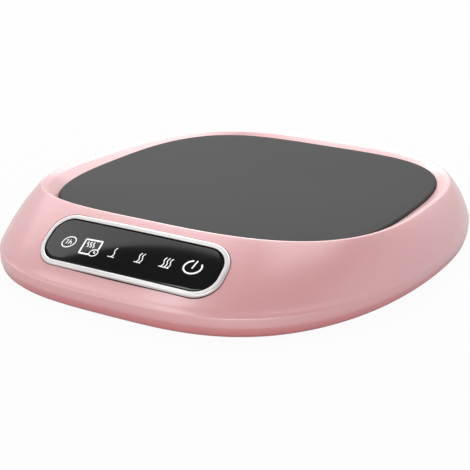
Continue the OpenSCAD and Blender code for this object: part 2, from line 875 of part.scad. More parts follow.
// Flat cable between the boards: a strip that follows a short route in Y and Z
link_t = 0.3;
function link_route() = [
  [panel_y + panel_header_y * cos(panel_tilt) - (chip_z - panel_header[2]) * sin(panel_tilt),
   panel_z + panel_header_y * sin(panel_tilt) + (chip_z - panel_header[2]) * cos(panel_tilt)
     - link_t],
  [header_y - 12.7, board_top + 1.7],
  [header_y - 8.7, board_top + 2.2],
  [header_y - 2.7, board_top + connector_h + 0.1],
  [header_y, board_top + connector_h]
];
module board_link() {
  route = link_route();
  color(white) translate([panel_shift + link_x - link_w / 2, 0, 0]) rotate([90, 0, 90])
    linear_extrude(link_w) polygon(concat(
      route, [for (k = [len(route) - 1:-1:0]) route[k] + [0, link_t]]));
}

//// Rear bay

terminal_x = 3.2;
terminal_wire_z = 2;
terminal_screw_d = 2.4;
module terminal_block() {
  color(cream) difference() {
    block(terminal_size, [0, terminal_y, inside_z]);
    for (s = [-1, 1]) {
      post(terminal_screw_d + 0.2, inside_z + terminal_wire_z + 1, terminal_size[2],
           [s * terminal_x, terminal_y]);
      translate([s * terminal_x, terminal_y - 10, inside_z + terminal_wire_z])
        rotate([-90, 0, 0]) cylinder(d = 2, h = 20, $fn = 32);
    }
  }
}

module terminal_screws() {
  color(steel) for (s = [-1, 1])
    post(terminal_screw_d, inside_z + terminal_wire_z + 1.2, 2.2,
         [s * terminal_x, terminal_y]);
}

lead_d = 1.6;
lead_low = inside_z + 1.2;
lead_step = 1.9;
lead_gap = 2.3;
lead_side = plate_hx - 6;   // the leads run between the carrier and the wall
module mains_leads() {
  for (k = [0, 1]) {
    x0 = k == 0 ? -terminal_x : terminal_x;
    z = lead_low + k * lead_step;
    turn_y = terminal_y - terminal_size[1] / 2 - 2.2;
    end_y = power_y - 3.4 - k * lead_gap;
    color(k == 0 ? "#3060a0" : "#7a4a28")
      tube([[x0, terminal_y - terminal_size[1] / 2, inside_z + terminal_wire_z],
            [x0 - 0.6, terminal_y - terminal_size[1] / 2 - 1.5, z],
            [-lead_side + 33, turn_y, z], [-lead_side + 16, turn_y - 0.5, z],
            [-lead_side + 8, turn_y - 6.5, z], [-lead_side + 4, turn_y - 11.5, z],
            [-lead_side + 0.5, turn_y - 21.5, z], [-lead_side, plate_y, z],
            [-lead_side, plate_y - plate_hy + 22.6, z],
            [-lead_side - 1.5, plate_y - plate_hy + 8.6, z],
            [-power_w / 2, end_y, board_top + 2],
            [inlet_x - inlet_size[0] / 2, end_y, board_top + 2]], lead_d);
  }
}

module heater_leads() {
  color(white) for (x = lead_x)
    tube([[x, lead_y, element_z - 0.02], [x, lead_y, carrier_z],
          [x, lead_y - 1, carrier_z - 1.8], [x, lead_y - 4, carrier_z - 2],
          [x, power_y + 11, carrier_z - 2], [x, power_y + 7, board_top + 1.6]], 1.2);
}

module sensor_leads() {
  color(red) for (k = [0, 1]) {
    x = sensor_x - 0.5 + k;
    tube([[x, plate_y - 3.5, spreader_z - sensor_d / 2], [x, plate_y - 6, clip_z + 1],
          [x, plate_y - 10, carrier_z - 1.9], [x, plate_y - 30, carrier_z - 2],
          [x, power_y + 11, carrier_z - 2], [x, power_y + 7, board_top + 1.6]], 0.7, 6);
  }
}

module cord_grommet() {
  color(black) difference() {
    union() {
      along_y(2 * collar_r, gland_seat_y, gland_y);
      along_y(2 * gland_r, gland_seat_y - gland_wall - gland_lip, gland_y);
      along_y(2 * gland_r + 1.2, gland_seat_y - gland_wall - gland_lip,
              gland_seat_y - gland_wall);
    }
    along_y(cord_bore_d, gland_y - 20, gland_y + 3);
  }
}

top_shell();
base_cover();
heating_plate();
plate_gasket();
heat_spreader();
heating_element();
insulation_pad();
plate_carrier();
carrier_screws();
stop_screws();
plate_springs();
temperature_sensor();
thermal_fuse();
sensor_clip();
clip_screws();
gravity_switch();
switch_plunger();
control_bezel();
touch_window();
light_baffle();
touch_board();
touch_springs();
indicator_leds();
touch_chip();
touch_board_screws();
board_link();
power_board();
power_board_screws();
heater_triac();
dropper_capacitor();
smoothing_capacitor();
mains_fuse();
board_connectors();
terminal_block();
terminal_screws();
mains_leads();
heater_leads();
sensor_leads();
cord_grommet();
rubber_feet();
shell_screws();
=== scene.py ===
"""Electric mug warmer: the finished pieces and materials round the fixed CAD frame.

Sizes are millimetres in the classes and metres in Blender. X is to the right, Y to the rear
and Z up, and the origin is on the table under the middle of the housing.
"""

import logging
from dataclasses import dataclass, field
from enum import Enum
from functools import partial
from typing import Any, Callable, Sequence

import bmesh
import bpy
import numpy as np
from bpy.types import ID, Material, Node, NodeSocket, NodeTree, Object, World
from mathutils import Matrix


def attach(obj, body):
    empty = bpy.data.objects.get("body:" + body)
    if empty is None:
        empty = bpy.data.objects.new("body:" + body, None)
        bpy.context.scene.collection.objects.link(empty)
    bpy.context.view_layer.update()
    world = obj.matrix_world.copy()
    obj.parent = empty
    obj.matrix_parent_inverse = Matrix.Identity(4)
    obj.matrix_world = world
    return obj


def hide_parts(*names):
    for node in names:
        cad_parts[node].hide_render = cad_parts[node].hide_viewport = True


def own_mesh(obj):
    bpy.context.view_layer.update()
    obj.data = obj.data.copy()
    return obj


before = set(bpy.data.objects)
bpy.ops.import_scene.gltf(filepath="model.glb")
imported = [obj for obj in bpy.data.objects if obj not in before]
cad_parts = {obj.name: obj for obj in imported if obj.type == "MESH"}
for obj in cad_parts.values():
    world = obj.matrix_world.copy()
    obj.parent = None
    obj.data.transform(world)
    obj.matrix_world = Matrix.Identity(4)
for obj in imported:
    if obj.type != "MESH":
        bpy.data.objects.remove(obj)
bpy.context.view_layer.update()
LOG = logging.getLogger("mug_warmer")
MM = 0.001
# x and y of the guides that the plate floats on.
GUIDES = np.array([(x, y) for x in (-34.0, 34.0) for y in (-27.7, 40.3)])

Array = np.ndarray
Pair = tuple[float, float]
Xyz = tuple[float, float, float]
# A printed line: its path, its width, and whether it is a ring.
Stroke = tuple[Array, float, bool]


class Body(Enum):
    """The moving groups that pieces ride on."""

    HOUSING = "housing"
    PLATE = "plate"


# ---------------------------------------------------------------- geometry tools


def signed_power(value: Array, power: float) -> Array:
    """|value| to the power, with the sign of value."""
    return np.sign(value) * np.abs(value) ** power


def unit(vectors: Array) -> Array:
    """Vectors scaled to length 1 along the last axis."""
    return vectors / np.linalg.norm(vectors, axis=-1, keepdims=True)


def column(values: Array) -> Array:
    """Values with one more axis, ready to multiply vectors."""
    return np.asarray(values)[..., None]


def lifted(flat: Array, z: float | Array) -> Array:
    """Points x, y with the height z added."""
    return np.concatenate([flat, column(np.full(flat.shape[:-1], z))], -1)


def full_turn(count: int) -> Array:
    """Evenly spaced angles of one turn, in radians."""
    return np.linspace(0, 2 * np.pi, count, endpoint=False)


def heading(azimuth: float, elevation: float) -> Array:
    """Direction of azimuth from the front, positive to the right, and elevation, in radians."""
    level = np.cos(elevation)
    return np.array([np.sin(azimuth) * level, -np.cos(azimuth) * level, np.sin(elevation)])


@dataclass(frozen=True)
class Outline:
    """Superellipse about the plate's centre.

    x = a sgn(cos t)|cos t|^(2/p) and y = c + b sgn(sin t)|sin t|^(2/q), where b is the front
    depth below the centre and the back depth above it.
    """

    half_x: float
    front: float
    back: float
    shape: Pair
    centre_y: float

    def at(self, turn: Array, inset: float = 0.0) -> Array:
        """Points of the outline.

        Args:
            turn: angles t in radians.
            inset: distance by which the half sizes shrink.

        Returns:
            Array of x and y, one row for each angle.
        """
        cos, sin = np.cos(turn), np.sin(turn)
        depth = np.where(sin < 0, self.front, self.back) - inset
        x = (self.half_x - inset) * signed_power(cos, 2 / self.shape[0])
        y = self.centre_y + depth * signed_power(sin, 2 / self.shape[1])
        return np.stack([x, y], -1)

    def ring(self, turn: Array, inset: float, z: float) -> Array:
        """The outline's points at height z, as x, y, z."""
        return lifted(self.at(turn, inset), z)

    def even_turns(self, count: int) -> Array:
        """Angles that space the outline's points evenly.

        The arc length s(t) is summed over a fine polyline and read backwards at count
        equal shares of the perimeter.
        """
        fine = np.linspace(0, 2 * np.pi, 20001)
        length = np.linalg.norm(np.diff(self.at(fine), axis=0), axis=-1)
        travelled = np.concatenate([[0.0], np.cumsum(length)])
        return np.interp(np.arange(count) / count * travelled[-1], travelled, fine)


def fillet(rows: Array, radii: Sequence[float], steps: int = 6, closed: bool = False) -> Array:
    """Rounds the corners of a sheaf of sections.

    At corner C with unit directions a and b to its neighbours and interior angle 2h, the arc
    has its centre at C + r/sin(h) along the bisector and starts r/tan(h) from C. Its points
    are slerps between the two end radii. The radius shrinks where a side is too short.

    Args:
        rows: points [corner, section, xyz].
        radii: one radius for each corner; 0 keeps the corner.
        steps: points on each arc.
        closed: whether the last row is followed by the first.

    Returns:
        The rows with every rounded corner replaced by its arc.
    """
    before, after = np.roll(rows, 1, 0) - rows, np.roll(rows, -1, 0) - rows
    reach = np.minimum(np.linalg.norm(before, axis=-1), np.linalg.norm(after, axis=-1))
    made = []
    for k, radius in enumerate(radii):
        if radius <= 0 or (not closed and k in (0, len(rows) - 1)):
            made.append(rows[k:k + 1])
            continue
        a, b = unit(before[k]), unit(after[k])
        half = 0.5 * np.arccos(np.clip((a * b).sum(-1), -1, 0.9999))
        r = np.minimum(radius, 0.46 * reach[k] * np.tan(half))
        centre = rows[k] + unit(a + b) * column(r / np.sin(half))
        u = unit(rows[k] + a * column(r / np.tan(half)) - centre)
        v = unit(rows[k] + b * column(r / np.tan(half)) - centre)
        angle = np.maximum(np.pi - 2 * half, 1e-4)
        share = np.linspace(0, 1, steps)[:, None]
        arc = column(np.sin((1 - share) * angle)) * u + column(np.sin(share * angle)) * v
        made.append(centre + column(r) * arc / column(np.sin(angle)))
    return np.concatenate(made)


@dataclass
class Skin:
    """Points and faces of one piece, gathered grid by grid, in millimetres."""

    points: list[Array] = field(default_factory=list)
    faces: list[Array] = field(default_factory=list)
    count: int = 0

    def grid(self, rows: Array, wrap_rows: bool = False, wrap_columns: bool = True,
             flip: bool = False) -> "Skin":
        """Adds a surface, as quads between neighbouring rows and columns.

        Args:
            rows: points [row, column, xyz].
            wrap_rows: joins the last row to the first.
            wrap_columns: joins the last column to the first.
            flip: turns the faces over.

        Returns:
            The skin itself.
        """
        n = self.count + np.arange(rows[..., 0].size).reshape(rows.shape[:2])
        if wrap_rows:
            n = np.concatenate([n, n[:1]])
        if wrap_columns:
            n = np.concatenate([n, n[:, :1]], 1)
        quads = np.stack([n[:-1, :-1], n[1:, :-1], n[1:, 1:], n[:-1, 1:]], -1).reshape(-1, 4)
        self.points.append(rows.reshape(-1, 3))
        self.faces.append(quads[:, ::-1] if flip else quads)
        self.count += rows[..., 0].size
        return self

    def piece(self, name: str, weld: bool = True, outward: bool = True) -> Object:
        """Makes the object.

        Args:
            name: the object's name.
            weld: merges points nearer than a micron, which closes poles and seams.
            outward: turns every face outwards.

        Returns:
            The object, linked to the scene.
        """
        mesh = bpy.data.meshes.new(name)
        mesh.from_pydata(np.concatenate(self.points) * MM, [], np.concatenate(self.faces))
        mesh.validate()
        shaped = bmesh.new()
        shaped.from_mesh(mesh)
        if weld:
            bmesh.ops.remove_doubles(shaped, verts=shaped.verts, dist=1e-6)
            bmesh.ops.dissolve_degenerate(shaped, edges=shaped.edges, dist=1e-7)
        if outward:
            bmesh.ops.recalc_face_normals(shaped, faces=shaped.faces)
        shaped.to_mesh(mesh)
        shaped.free()
        mesh.shade_smooth()
        return in_scene(name, mesh)


def in_scene(name: str, data: ID) -> Object:
    """Makes an object of a mesh, lamp or camera, and links it to the scene."""
    made = bpy.data.objects.new(name, data)
    bpy.context.scene.collection.objects.link(made)
    return made


def revolve(profile: Sequence[Pair], radii: Sequence[float], centre: Sequence[float],
            axis: str = "z", turns: int = 64, steps: int = 5,
            closed: bool = False) -> Array:
    """Surface of a profile turned about an axis.

    The point at radius r and height h goes to centre + r (cos v, sin v) across the axis and
    h along it, after the profile's corners are rounded.

    Args:
        profile: corners as radius and height.
        radii: corner radii, one for each corner.
        centre: the point of the axis at height 0.
        axis: "z" for an upright axis, "y" for one along Y.
        turns: points round the axis.
        steps: points on each rounded corner.
        closed: whether the profile goes on from its last corner to its first.

    Returns:
        Points [row, column, xyz].
    """
    flat = fillet(np.array([[(r, 0.0, h)] for r, h in profile]), radii, steps, closed)[:, 0]
    r, h, v = flat[:, :1], flat[:, 2:], full_turn(turns)
    across, side, along = r * np.cos(v), r * np.sin(v), h + 0 * v
    order = (across, side, along) if axis == "z" else (side, along, across)
    return np.stack(order, -1) + np.asarray(centre, float)


def rod(radius: float, low: float, high: float, centre: Sequence[float], turns: int,
        rounding: float = 0.0, axis: str = "z") -> Array:
    """Surface of a cylinder from low to high on its axis, the first edge rounded."""
    profile = [(0, low), (radius, low), (radius, high), (0, high)]
    return revolve(profile, [0, rounding, 0, 0], centre, axis, turns)


def rods(name: str, centres: Sequence[Pair], size: Xyz, turns: int, rounding: float = 0.0,
         place: Callable[[Array], Array] = np.asarray) -> list[Object]:
    """Makes an upright cylinder at each centre.

    Args:
        name: start of their names.
        centres: x and y of each.
        size: radius, lowest height and highest height.
        turns: points round each.
        rounding: radius of the lower edge.
        place: what turns their points into the object's frame.

    Returns:
        The cylinders.
    """
    return [Skin().grid(place(rod(*size, (x, y, 0.0), turns, rounding))).piece(f"{name}_{k}")
            for k, (x, y) in enumerate(centres)]


def sweep(path: Array, radius: float, sides: int) -> Array:
    """Round wire along a path that never runs upright, closed to a point at both ends.

    With tangent T, side A = T x Z and B = A x T, the point at angle v is
    path + r (cos v A + sin v B). The first and last rings shrink to the path's ends.

    Args:
        path: points [n, 3].
        radius: radius of the wire.
        sides: points round the wire.

    Returns:
        Points [row, column, xyz].
    """
    tangent = unit(np.gradient(path, axis=0))
    a = unit(np.cross(tangent, (0.0, 0.0, 1.0)))
    b = np.cross(a, tangent)
    v = full_turn(sides)[:, None]
    tube = path[:, None] + radius * (np.cos(v) * a[:, None] + np.sin(v) * b[:, None])
    ends = np.repeat(path[[0, -1], None], sides, 1)
    return np.concatenate([ends[:1], tube, ends[1:]])


def coil(radius: float, wire: float, turns: float, z0: float, z1: float,
         closed: float = 0.8) -> Array:
    """Centreline of a compression spring with closed ends.

    The angle a runs evenly. Over the closed part of a turn at each end the height rises by
    the same part of the wire, and in between it rises evenly:
    z = z0 + d/2 + share(a) (z1 - z0 - d).
    """
    a = np.linspace(0, 2 * np.pi * turns, int(32 * turns) + 1)
    dead = min(closed, turns / 4) / turns
    low = wire / max(z1 - z0 - wire, wire) * closed
    share = np.interp(a / a[-1], [0, dead, 1 - dead, 1], [0, low, 1 - low, 1])
    z = z0 + wire / 2 + share * (z1 - z0 - wire)
    return np.stack([radius * np.cos(a), radius * np.sin(a), z], -1)


def carve(piece: Object, tools: Sequence[Object], join: bool = False) -> None:
    """Cuts tools out of a piece, or joins them to it, and removes the tools.

    Args:
        piece: the object whose mesh changes.
        tools: closed objects.
        join: whether to unite rather than cut.
    """
    for tool in tools:
        cut = piece.modifiers.new("cut", "BOOLEAN")
        cut.operation = "UNION" if join else "DIFFERENCE"
        cut.solver = "EXACT"
        cut.object = tool
    bpy.context.view_layer.update()
    shaped = bpy.data.meshes.new_from_object(
        piece.evaluated_get(bpy.context.evaluated_depsgraph_get()))
    piece.modifiers.clear()
    piece.data = shaped
    for tool in tools:
        bpy.data.objects.remove(tool)


def sharpen(piece: Object, degrees: float = 35.0) -> None:
    """Shades a piece smooth but for edges that turn more than the given angle."""
    piece.data.shade_smooth()
    piece.data.set_sharp_from_angle(angle=np.radians(degrees))


# ---------------------------------------------------------------- shader nodes


def srgb(code: str) -> tuple[float, float, float, float]:
    """Linear colour of an sRGB hex code: c/12.92 in the toe, else ((c + 0.055)/1.055)^2.4."""
    parts = np.array([int(code[k:k + 2], 16) for k in (1, 3, 5)]) / 255
    linear = np.where(parts <= 0.04045, parts / 12.92, ((parts + 0.055) / 1.055) ** 2.4)
    return (*linear.tolist(), 1.0)


def add_node(tree: NodeTree, kind: str, settings: dict[str, Any] | None = None,
             **inputs: Any) -> Node:
    """Adds a node with its settings and sockets.

    Args:
        tree: the node tree.
        kind: the node's type name, without the leading ShaderNode.
        settings: properties of the node.
        **inputs: values or output sockets for its inputs; _ stands for a space, and a name
            such as i6 for the input of that number.

    Returns:
        The node.
    """
    node = tree.nodes.new("ShaderNode" + kind)
    for key, value in (settings or {}).items():
        setattr(node, key, value)
    for key, value in inputs.items():
        numbered = key[0] == "i" and key[1:].isdigit()
        socket = node.inputs[int(key[1:]) if numbered else key.replace("_", " ")]
        if isinstance(value, NodeSocket):
            tree.links.new(value, socket)
        else:
            socket.default_value = value
    return node


def ramp(tree: NodeTree, value: NodeSocket, span: Pair, to: Pair = (0.0, 1.0),
         smooth: bool = False) -> NodeSocket:
    """Maps a value from one span to another, with slow ends if smooth."""
    kind = "SMOOTHSTEP" if smooth else "LINEAR"
    return add_node(tree, "MapRange", {"interpolation_type": kind}, Value=value, i1=span[0],
                    i2=span[1], i3=to[0], i4=to[1]).outputs[0]


def blend(tree: NodeTree, amount: NodeSocket, first: Any, second: Any) -> NodeSocket:
    """Mixes two colours: amount 0 gives the first, 1 the second."""
    return add_node(tree, "Mix", {"data_type": "RGBA"}, Factor=amount, i6=first,
                    i7=second).outputs[2]


def reckon(tree: NodeTree, operation: str, first: Any, second: Any) -> NodeSocket:
    """One step of arithmetic on two values."""
    return add_node(tree, "Math", {"operation": operation}, i0=first, i1=second).outputs[0]


def empty_tree(owner: Material | World) -> NodeTree:
    """The node tree of a material or world, with nothing in it."""
    owner.use_nodes = True
    owner.node_tree.nodes.clear()
    return owner.node_tree


def end_tree(tree: NodeTree, kind: str, factor: NodeSocket, first: Node, second: Node) -> None:
    """Ends a tree in a mix of two shaders: factor 0 gives the first, 1 the second."""
    mixed = add_node(tree, "MixShader", Fac=factor, i1=first.outputs[0], i2=second.outputs[0])
    add_node(tree, kind, Surface=mixed.outputs[0])


def per_mm(size: float) -> float:
    """Texture scale, in Object coordinates, of a pattern with features of size mm."""
    return 1.0 / (size * MM)


# ---------------------------------------------------------------- finishes


@dataclass
class Shading:
    """One finish's node tree in the making."""

    finish: "Finish"
    tree: NodeTree
    place: NodeSocket
    shader: Node
    middle: Pair = (0.3, 0.7)

    def stretched(self, scale: Xyz) -> NodeSocket:
        """Object coordinates scaled unevenly, for brushed or drawn surfaces."""
        return add_node(self.tree, "Mapping", Vector=self.place, Scale=scale).outputs[0]

    def cloud(self, size: float, detail: float = 4.0, scale: Xyz | None = None) -> NodeSocket:
        """Noise with features of size mm, from 0 to 1, stretched if a scale is given."""
        place = self.stretched(scale) if scale else self.place
        return add_node(self.tree, "TexNoise", Vector=place, Scale=per_mm(size),
                        Detail=detail).outputs["Fac"]

    def paint(self, amount: NodeSocket) -> None:
        """Mixes the finish's two colours and spreads its roughness by amount."""
        own, half = self.finish, self.finish.rough_span / 2
        colour = blend(self.tree, amount, srgb(own.colour), srgb(own.shade))
        gloss = ramp(self.tree, amount, self.middle,
                     (own.roughness - half, own.roughness + half))
        self.tree.links.new(colour, self.shader.inputs["Base Color"])
        self.tree.links.new(gloss, self.shader.inputs["Roughness"])

    def emboss(self, height: NodeSocket) -> None:
        """Gives the shader a bump of the finish's depth that follows height."""
        if self.finish.depth:
            bump = add_node(self.tree, "Bump", Height=height, Distance=self.finish.depth * MM)
            self.tree.links.new(bump.outputs[0], self.shader.inputs["Normal"])


@dataclass(frozen=True)
class Finish:
    """A surface with mottled colour, uneven gloss and a fine grain.

    Colour runs from colour to shade over patches of mottle mm. Roughness varies by
    rough_span over the same patches, and the grain is a bump of depth mm over grain mm.
    """

    name: str
    colour: str
    shade: str
    roughness: float
    rough_span: float = 0.06
    metallic: float = 0.0
    ior: float = 1.5
    mottle: float = 12.0
    grain: float = 0.4
    depth: float = 0.006
    specular: float = 0.5
    coat: float = 0.0
    coat_roughness: float = 0.08
    glow: float = 0.0
    sheen: float = 0.0

    def material(self) -> Material:
        """The finish's material, made once."""
        found = bpy.data.materials.get(self.name)
        if found:
            return found
        made = bpy.data.materials.new(self.name)
        tree = empty_tree(made)
        place = add_node(tree, "TexCoord").outputs["Object"]
        shader = add_node(tree, "BsdfPrincipled", Metallic=self.metallic,
                          Roughness=self.roughness, Sheen_Weight=self.sheen)
        if self.metallic < 0.5:
            shader.inputs["IOR"].default_value = self.ior
            shader.inputs["Specular IOR Level"].default_value = self.specular
        if self.coat:
            shader.inputs["Coat Weight"].default_value = self.coat
            shader.inputs["Coat Roughness"].default_value = self.coat_roughness
        # A glow is painted light: the surface gives off light in its shade colour, though it is
        # no lamp.
        if self.glow:
            shader.inputs["Emission Color"].default_value = srgb(self.shade)
            shader.inputs["Emission Strength"].default_value = self.glow
        self.dress(Shading(self, tree, place, shader))
        add_node(tree, "OutputMaterial", Surface=shader.outputs[0])
        return made

    def dress(self, on: Shading) -> None:
        """Adds mottling, uneven gloss and grain to the shader."""
        on.paint(on.cloud(self.mottle))
        on.emboss(on.cloud(self.grain, 2.0))


@dataclass(frozen=True)
class PearlAbs(Finish):
    """Moulded ABS with pearl pigment: a soft satin glow, and flakes 0.25 mm across that turn
    a few spots lighter. Real flakes are 0.05 mm; they are drawn coarser so that they show.
    The painted shade colour is full below the lower height of its span and gone above the upper
    one: a deeper pink painted towards the lower edge, where shade falls near the floor."""

    flake: float = 0.25
    painted_low_shade: str = "#d2565c"
    painted_low_shade_span: Pair = (1.2, 5.0)

    def dress(self, on: Shading) -> None:
        """Adds the flakes to the mottled colour, painted shade that deepens the pink towards
        the lower edge, and a very shallow moulding grain."""
        bright = ramp(on.tree, on.cloud(self.flake, 1.0), (0.45, 0.8), (0.0, 0.35))
        on.paint(reckon(on.tree, "ADD", on.cloud(self.mottle), bright))
        # Painted shade: the base colour turns a deeper pink towards the lower edge, for the
        # shade near the floor.
        height = add_node(on.tree, "SeparateXYZ", Vector=on.place).outputs["Z"]
        low, high = self.painted_low_shade_span
        near = ramp(on.tree, height, (low * MM, high * MM), (1.0, 0.0), smooth=True)
        base = on.shader.inputs["Base Color"]
        deeper = blend(on.tree, near, base.links[0].from_socket, srgb(self.painted_low_shade))
        on.tree.links.new(deeper, base)
        on.emboss(on.cloud(self.grain, 2.0))


@dataclass(frozen=True)
class SatinGlass(Finish):
    """Ceramic-coated glass, etched matt: a dead even dark grey with a faint fine speckle."""

    speckle: float = 0.3

    def dress(self, on: Shading) -> None:
        """Adds the speckle of the coating over slow drifts of tone."""
        fine, slow = on.cloud(self.speckle, 1.0), on.cloud(self.mottle, 1.0)
        amount = add_node(on.tree, "Mix", {"data_type": "FLOAT"}, Factor=0.4, i2=slow, i3=fine)
        on.paint(amount.outputs[0])
        on.emboss(fine)


@dataclass(frozen=True)
class BrushedMetal(Finish):
    """Rolled or brushed metal: long fine lines along X, which stretch the highlights."""

    line: float = 0.12

    def dress(self, on: Shading) -> None:
        """Adds lines a hundred times longer than they are wide."""
        lines = on.cloud(self.line, 3.0, (0.01, 1.0, 1.0))
        on.paint(lines)
        on.emboss(lines)


@dataclass(frozen=True)
class EtchedFoil(Finish):
    """Etched heating foil between polyimide films: amber film over copper tracks 2 mm wide
    that run side by side along X."""

    track: float = 2.0
    wave: float = 6.2832

    def dress(self, on: Shading) -> None:
        """Draws the tracks as a sine across Y, cut to hard edges."""
        wave = add_node(on.tree, "TexWave", {"bands_direction": "Y"}, Vector=on.place,
                        Scale=per_mm(self.track) / self.wave, Distortion=0.4)
        hard = ramp(on.tree, wave.outputs["Fac"], (0.42, 0.58))
        on.paint(hard)
        on.emboss(hard)


@dataclass(frozen=True)
class NeedledFelt(Finish):
    """Needled glass-fibre felt: matt off-white with short crossing fibres 0.3 mm thick."""

    def dress(self, on: Shading) -> None:
        """Crosses two stretched noises for the fibres."""
        both = reckon(on.tree, "MAXIMUM", on.cloud(self.grain, 3.0, (0.15, 1.0, 1.0)),
                      on.cloud(self.grain, 3.0, (1.0, 0.15, 1.0)))
        on.paint(both)
        on.emboss(both)


@dataclass(frozen=True)
class SolderMask(Finish):
    """Glass-epoxy board under green solder mask: paler lines where copper tracks run."""

    track: float = 1.6

    def dress(self, on: Shading) -> None:
        """Draws tracks as the borders of square cells."""
        cells = add_node(on.tree, "TexVoronoi",
                         {"distance": "CHEBYCHEV", "feature": "DISTANCE_TO_EDGE"},
                         Vector=on.stretched((1.0, 1.0, 0.02)), Scale=per_mm(self.track * 2))
        tracks = ramp(on.tree, cells.outputs["Distance"], (0.05, 0.12), (1.0, 0.0))
        on.paint(tracks)
        on.emboss(tracks)


PINK_PEARL = PearlAbs("pearl_pink_ABS", "#d4868a", "#da8f93", 0.44, ior=3.0, mottle=30.0,
                      grain=0.5, depth=0.0012, coat=1.0, coat_roughness=0.2)
DARK_PLATE = SatinGlass("satin_ceramic_glass", "#424242", "#474747", 0.6, depth=0.001,
                        mottle=40.0, specular=0.06)
GASKET_SILICONE = Finish("black_silicone", "#0b0b0c", "#121213", 0.55, ior=1.41, mottle=3.0)
BEZEL_CHROME = Finish("satin_silver_lacquer", "#e4e0e0", "#ebe8e8", 0.34, metallic=0.7,
                      grain=0.6, depth=0.0)
WINDOW_PMMA = Finish("black_PMMA", "#0a0a0b", "#0e0e0f", 0.04, 0.02, ior=1.62, mottle=25.0,
                     depth=0.0)
# The white print glows faintly: painted light that brightens it, though it is no lamp.
SYMBOL_INK = Finish("white_ink_painted_glow", "#ececec", "#f6f6f6", 0.5, mottle=0.6, grain=0.08,
                    depth=0.002, glow=0.25)
# Painted shade: a black fill set into the gaps round the window and round the bezel, standing
# in for the shadow in those gaps.
GAP_SHADE_FILL = Finish("black_gap_shade_fill", "#040404", "#060606", 0.8, mottle=2.0, depth=0.001,
                   specular=0.1)
BLACK_RUBBER = Finish("black_EPDM_rubber", "#151516", "#1e1e1f", 0.72, ior=1.52, mottle=2.5,
                      grain=0.25, depth=0.015)
ZINC_STEEL = Finish("zinc_plated_steel", "#b7b9bd", "#cfd0d2", 0.3, 0.12, 1.0, mottle=0.9,
                    grain=0.2, depth=0.002)
SPRING_STEEL = BrushedMetal("drawn_spring_steel", "#a9abae", "#c3c4c6", 0.28, 0.1, 1.0,
                            depth=0.002)

# The finishes of the CAD nodes that stay, by the names of the nodes.
NODE_FINISHES: dict[str, Finish] = {
    "base_cover": Finish("spark_eroded_pink_ABS", "#dcb0af", "#e3bab8", 0.55, mottle=8.0,
                         grain=0.35, depth=0.02),
    "heat_spreader": BrushedMetal("rolled_aluminium", "#c9cacc", "#dcdddf", 0.34, 0.12, 1.0,
                                  depth=0.004),
    "heating_element": EtchedFoil("etched_foil_in_polyimide", "#8a4a1c", "#c87a3c", 0.3, 0.1,
                                  depth=0.03),
    "insulation_pad": NeedledFelt("glass_fibre_felt", "#d8d2c2", "#efebdf", 0.95, depth=0.12,
                                  sheen=0.2, grain=0.3),
    "plate_carrier switch_plunger board_link board_connectors":
        Finish("natural_nylon_66", "#e6e4dc", "#f1f0ea", 0.42, ior=1.53, mottle=6.0,
               depth=0.008),
    "carrier_screws clip_screws touch_board_screws power_board_screws terminal_screws":
        ZINC_STEEL,
    "temperature_sensor": Finish("dipped_epoxy_bead", "#7d2a22", "#96352b", 0.25, ior=1.55,
                                 mottle=1.5),
    "thermal_fuse mains_fuse": Finish("tinned_fuse_case", "#b9b7b0", "#d0cec6", 0.32, 0.1, 0.85,
                                      mottle=1.2),
    "sensor_clip": SPRING_STEEL,
    "gravity_switch touch_chip heater_triac":
        Finish("moulded_black_epoxy", "#17171a", "#222226", 0.6, ior=1.56, grain=0.12,
               mottle=1.4),
    "light_baffle": Finish("grey_polycarbonate", "#2b2b2d", "#363638", 0.5, ior=1.58,
                           mottle=3.0),
    "touch_board power_board": SolderMask("solder_masked_FR4", "#1b5c3b", "#2c7a52", 0.32, 0.08,
                                          depth=0.02),
    "indicator_leds": Finish("clear_lamp_resin", "#efe6c4", "#f8f2dc", 0.18, ior=1.54,
                             mottle=0.5),
    "dropper_capacitor": Finish("yellow_film_capacitor_case", "#c79a22", "#d8ad36", 0.34,
                                mottle=2.0),
    "smoothing_capacitor": Finish("blue_PVC_sleeve", "#20336b", "#2b4284", 0.3, ior=1.54,
                                  mottle=1.5),
    "terminal_block": Finish("cream_nylon_66", "#ded2b2", "#e9dfc4", 0.45, ior=1.53,
                             mottle=2.5),
    "mains_leads": Finish("brown_PVC_insulation", "#5a3420", "#6c4029", 0.4, ior=1.54,
                          mottle=1.2),
    "heater_leads": NeedledFelt("white_glass_braid", "#dedcd4", "#f3f2ee", 0.8, depth=0.05,
                                grain=0.25),
    "sensor_leads": Finish("red_PVC_insulation", "#92231e", "#a82e27", 0.4, ior=1.54,
                           mottle=1.2),
}


# ---------------------------------------------------------------- placing pieces


def settle(piece: Object, finish: Finish,
           replaces: Sequence[str] = (), body: Body = Body.HOUSING) -> Object:
    """Gives a piece its material and its place on a body.

    Args:
        piece: the object, in place.
        finish: its finish.
        replaces: CAD nodes that it stands for.
        body: what it rides on.

    Returns:
        The piece.
    """
    piece.data.materials.clear()
    piece.data.materials.append(finish.material())
    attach(piece, body.value)
    if replaces:
        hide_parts(*replaces)
    LOG.info("%s: %d faces on %s, %s", piece.name, len(piece.data.polygons), body.value,
             finish.name)
    return piece


def dress_node(node: str, finish: Finish) -> None:
    """Puts a finish on a CAD node, whose mesh and place stay as they are."""
    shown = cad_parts[node]
    if not shown.material_slots:
        shown.data.materials.append(None)
    for slot in shown.material_slots:
        slot.link = "OBJECT"
        slot.material = finish.material()
    LOG.info("%s: CAD node in %s", node, finish.name)


# ---------------------------------------------------------------- housing


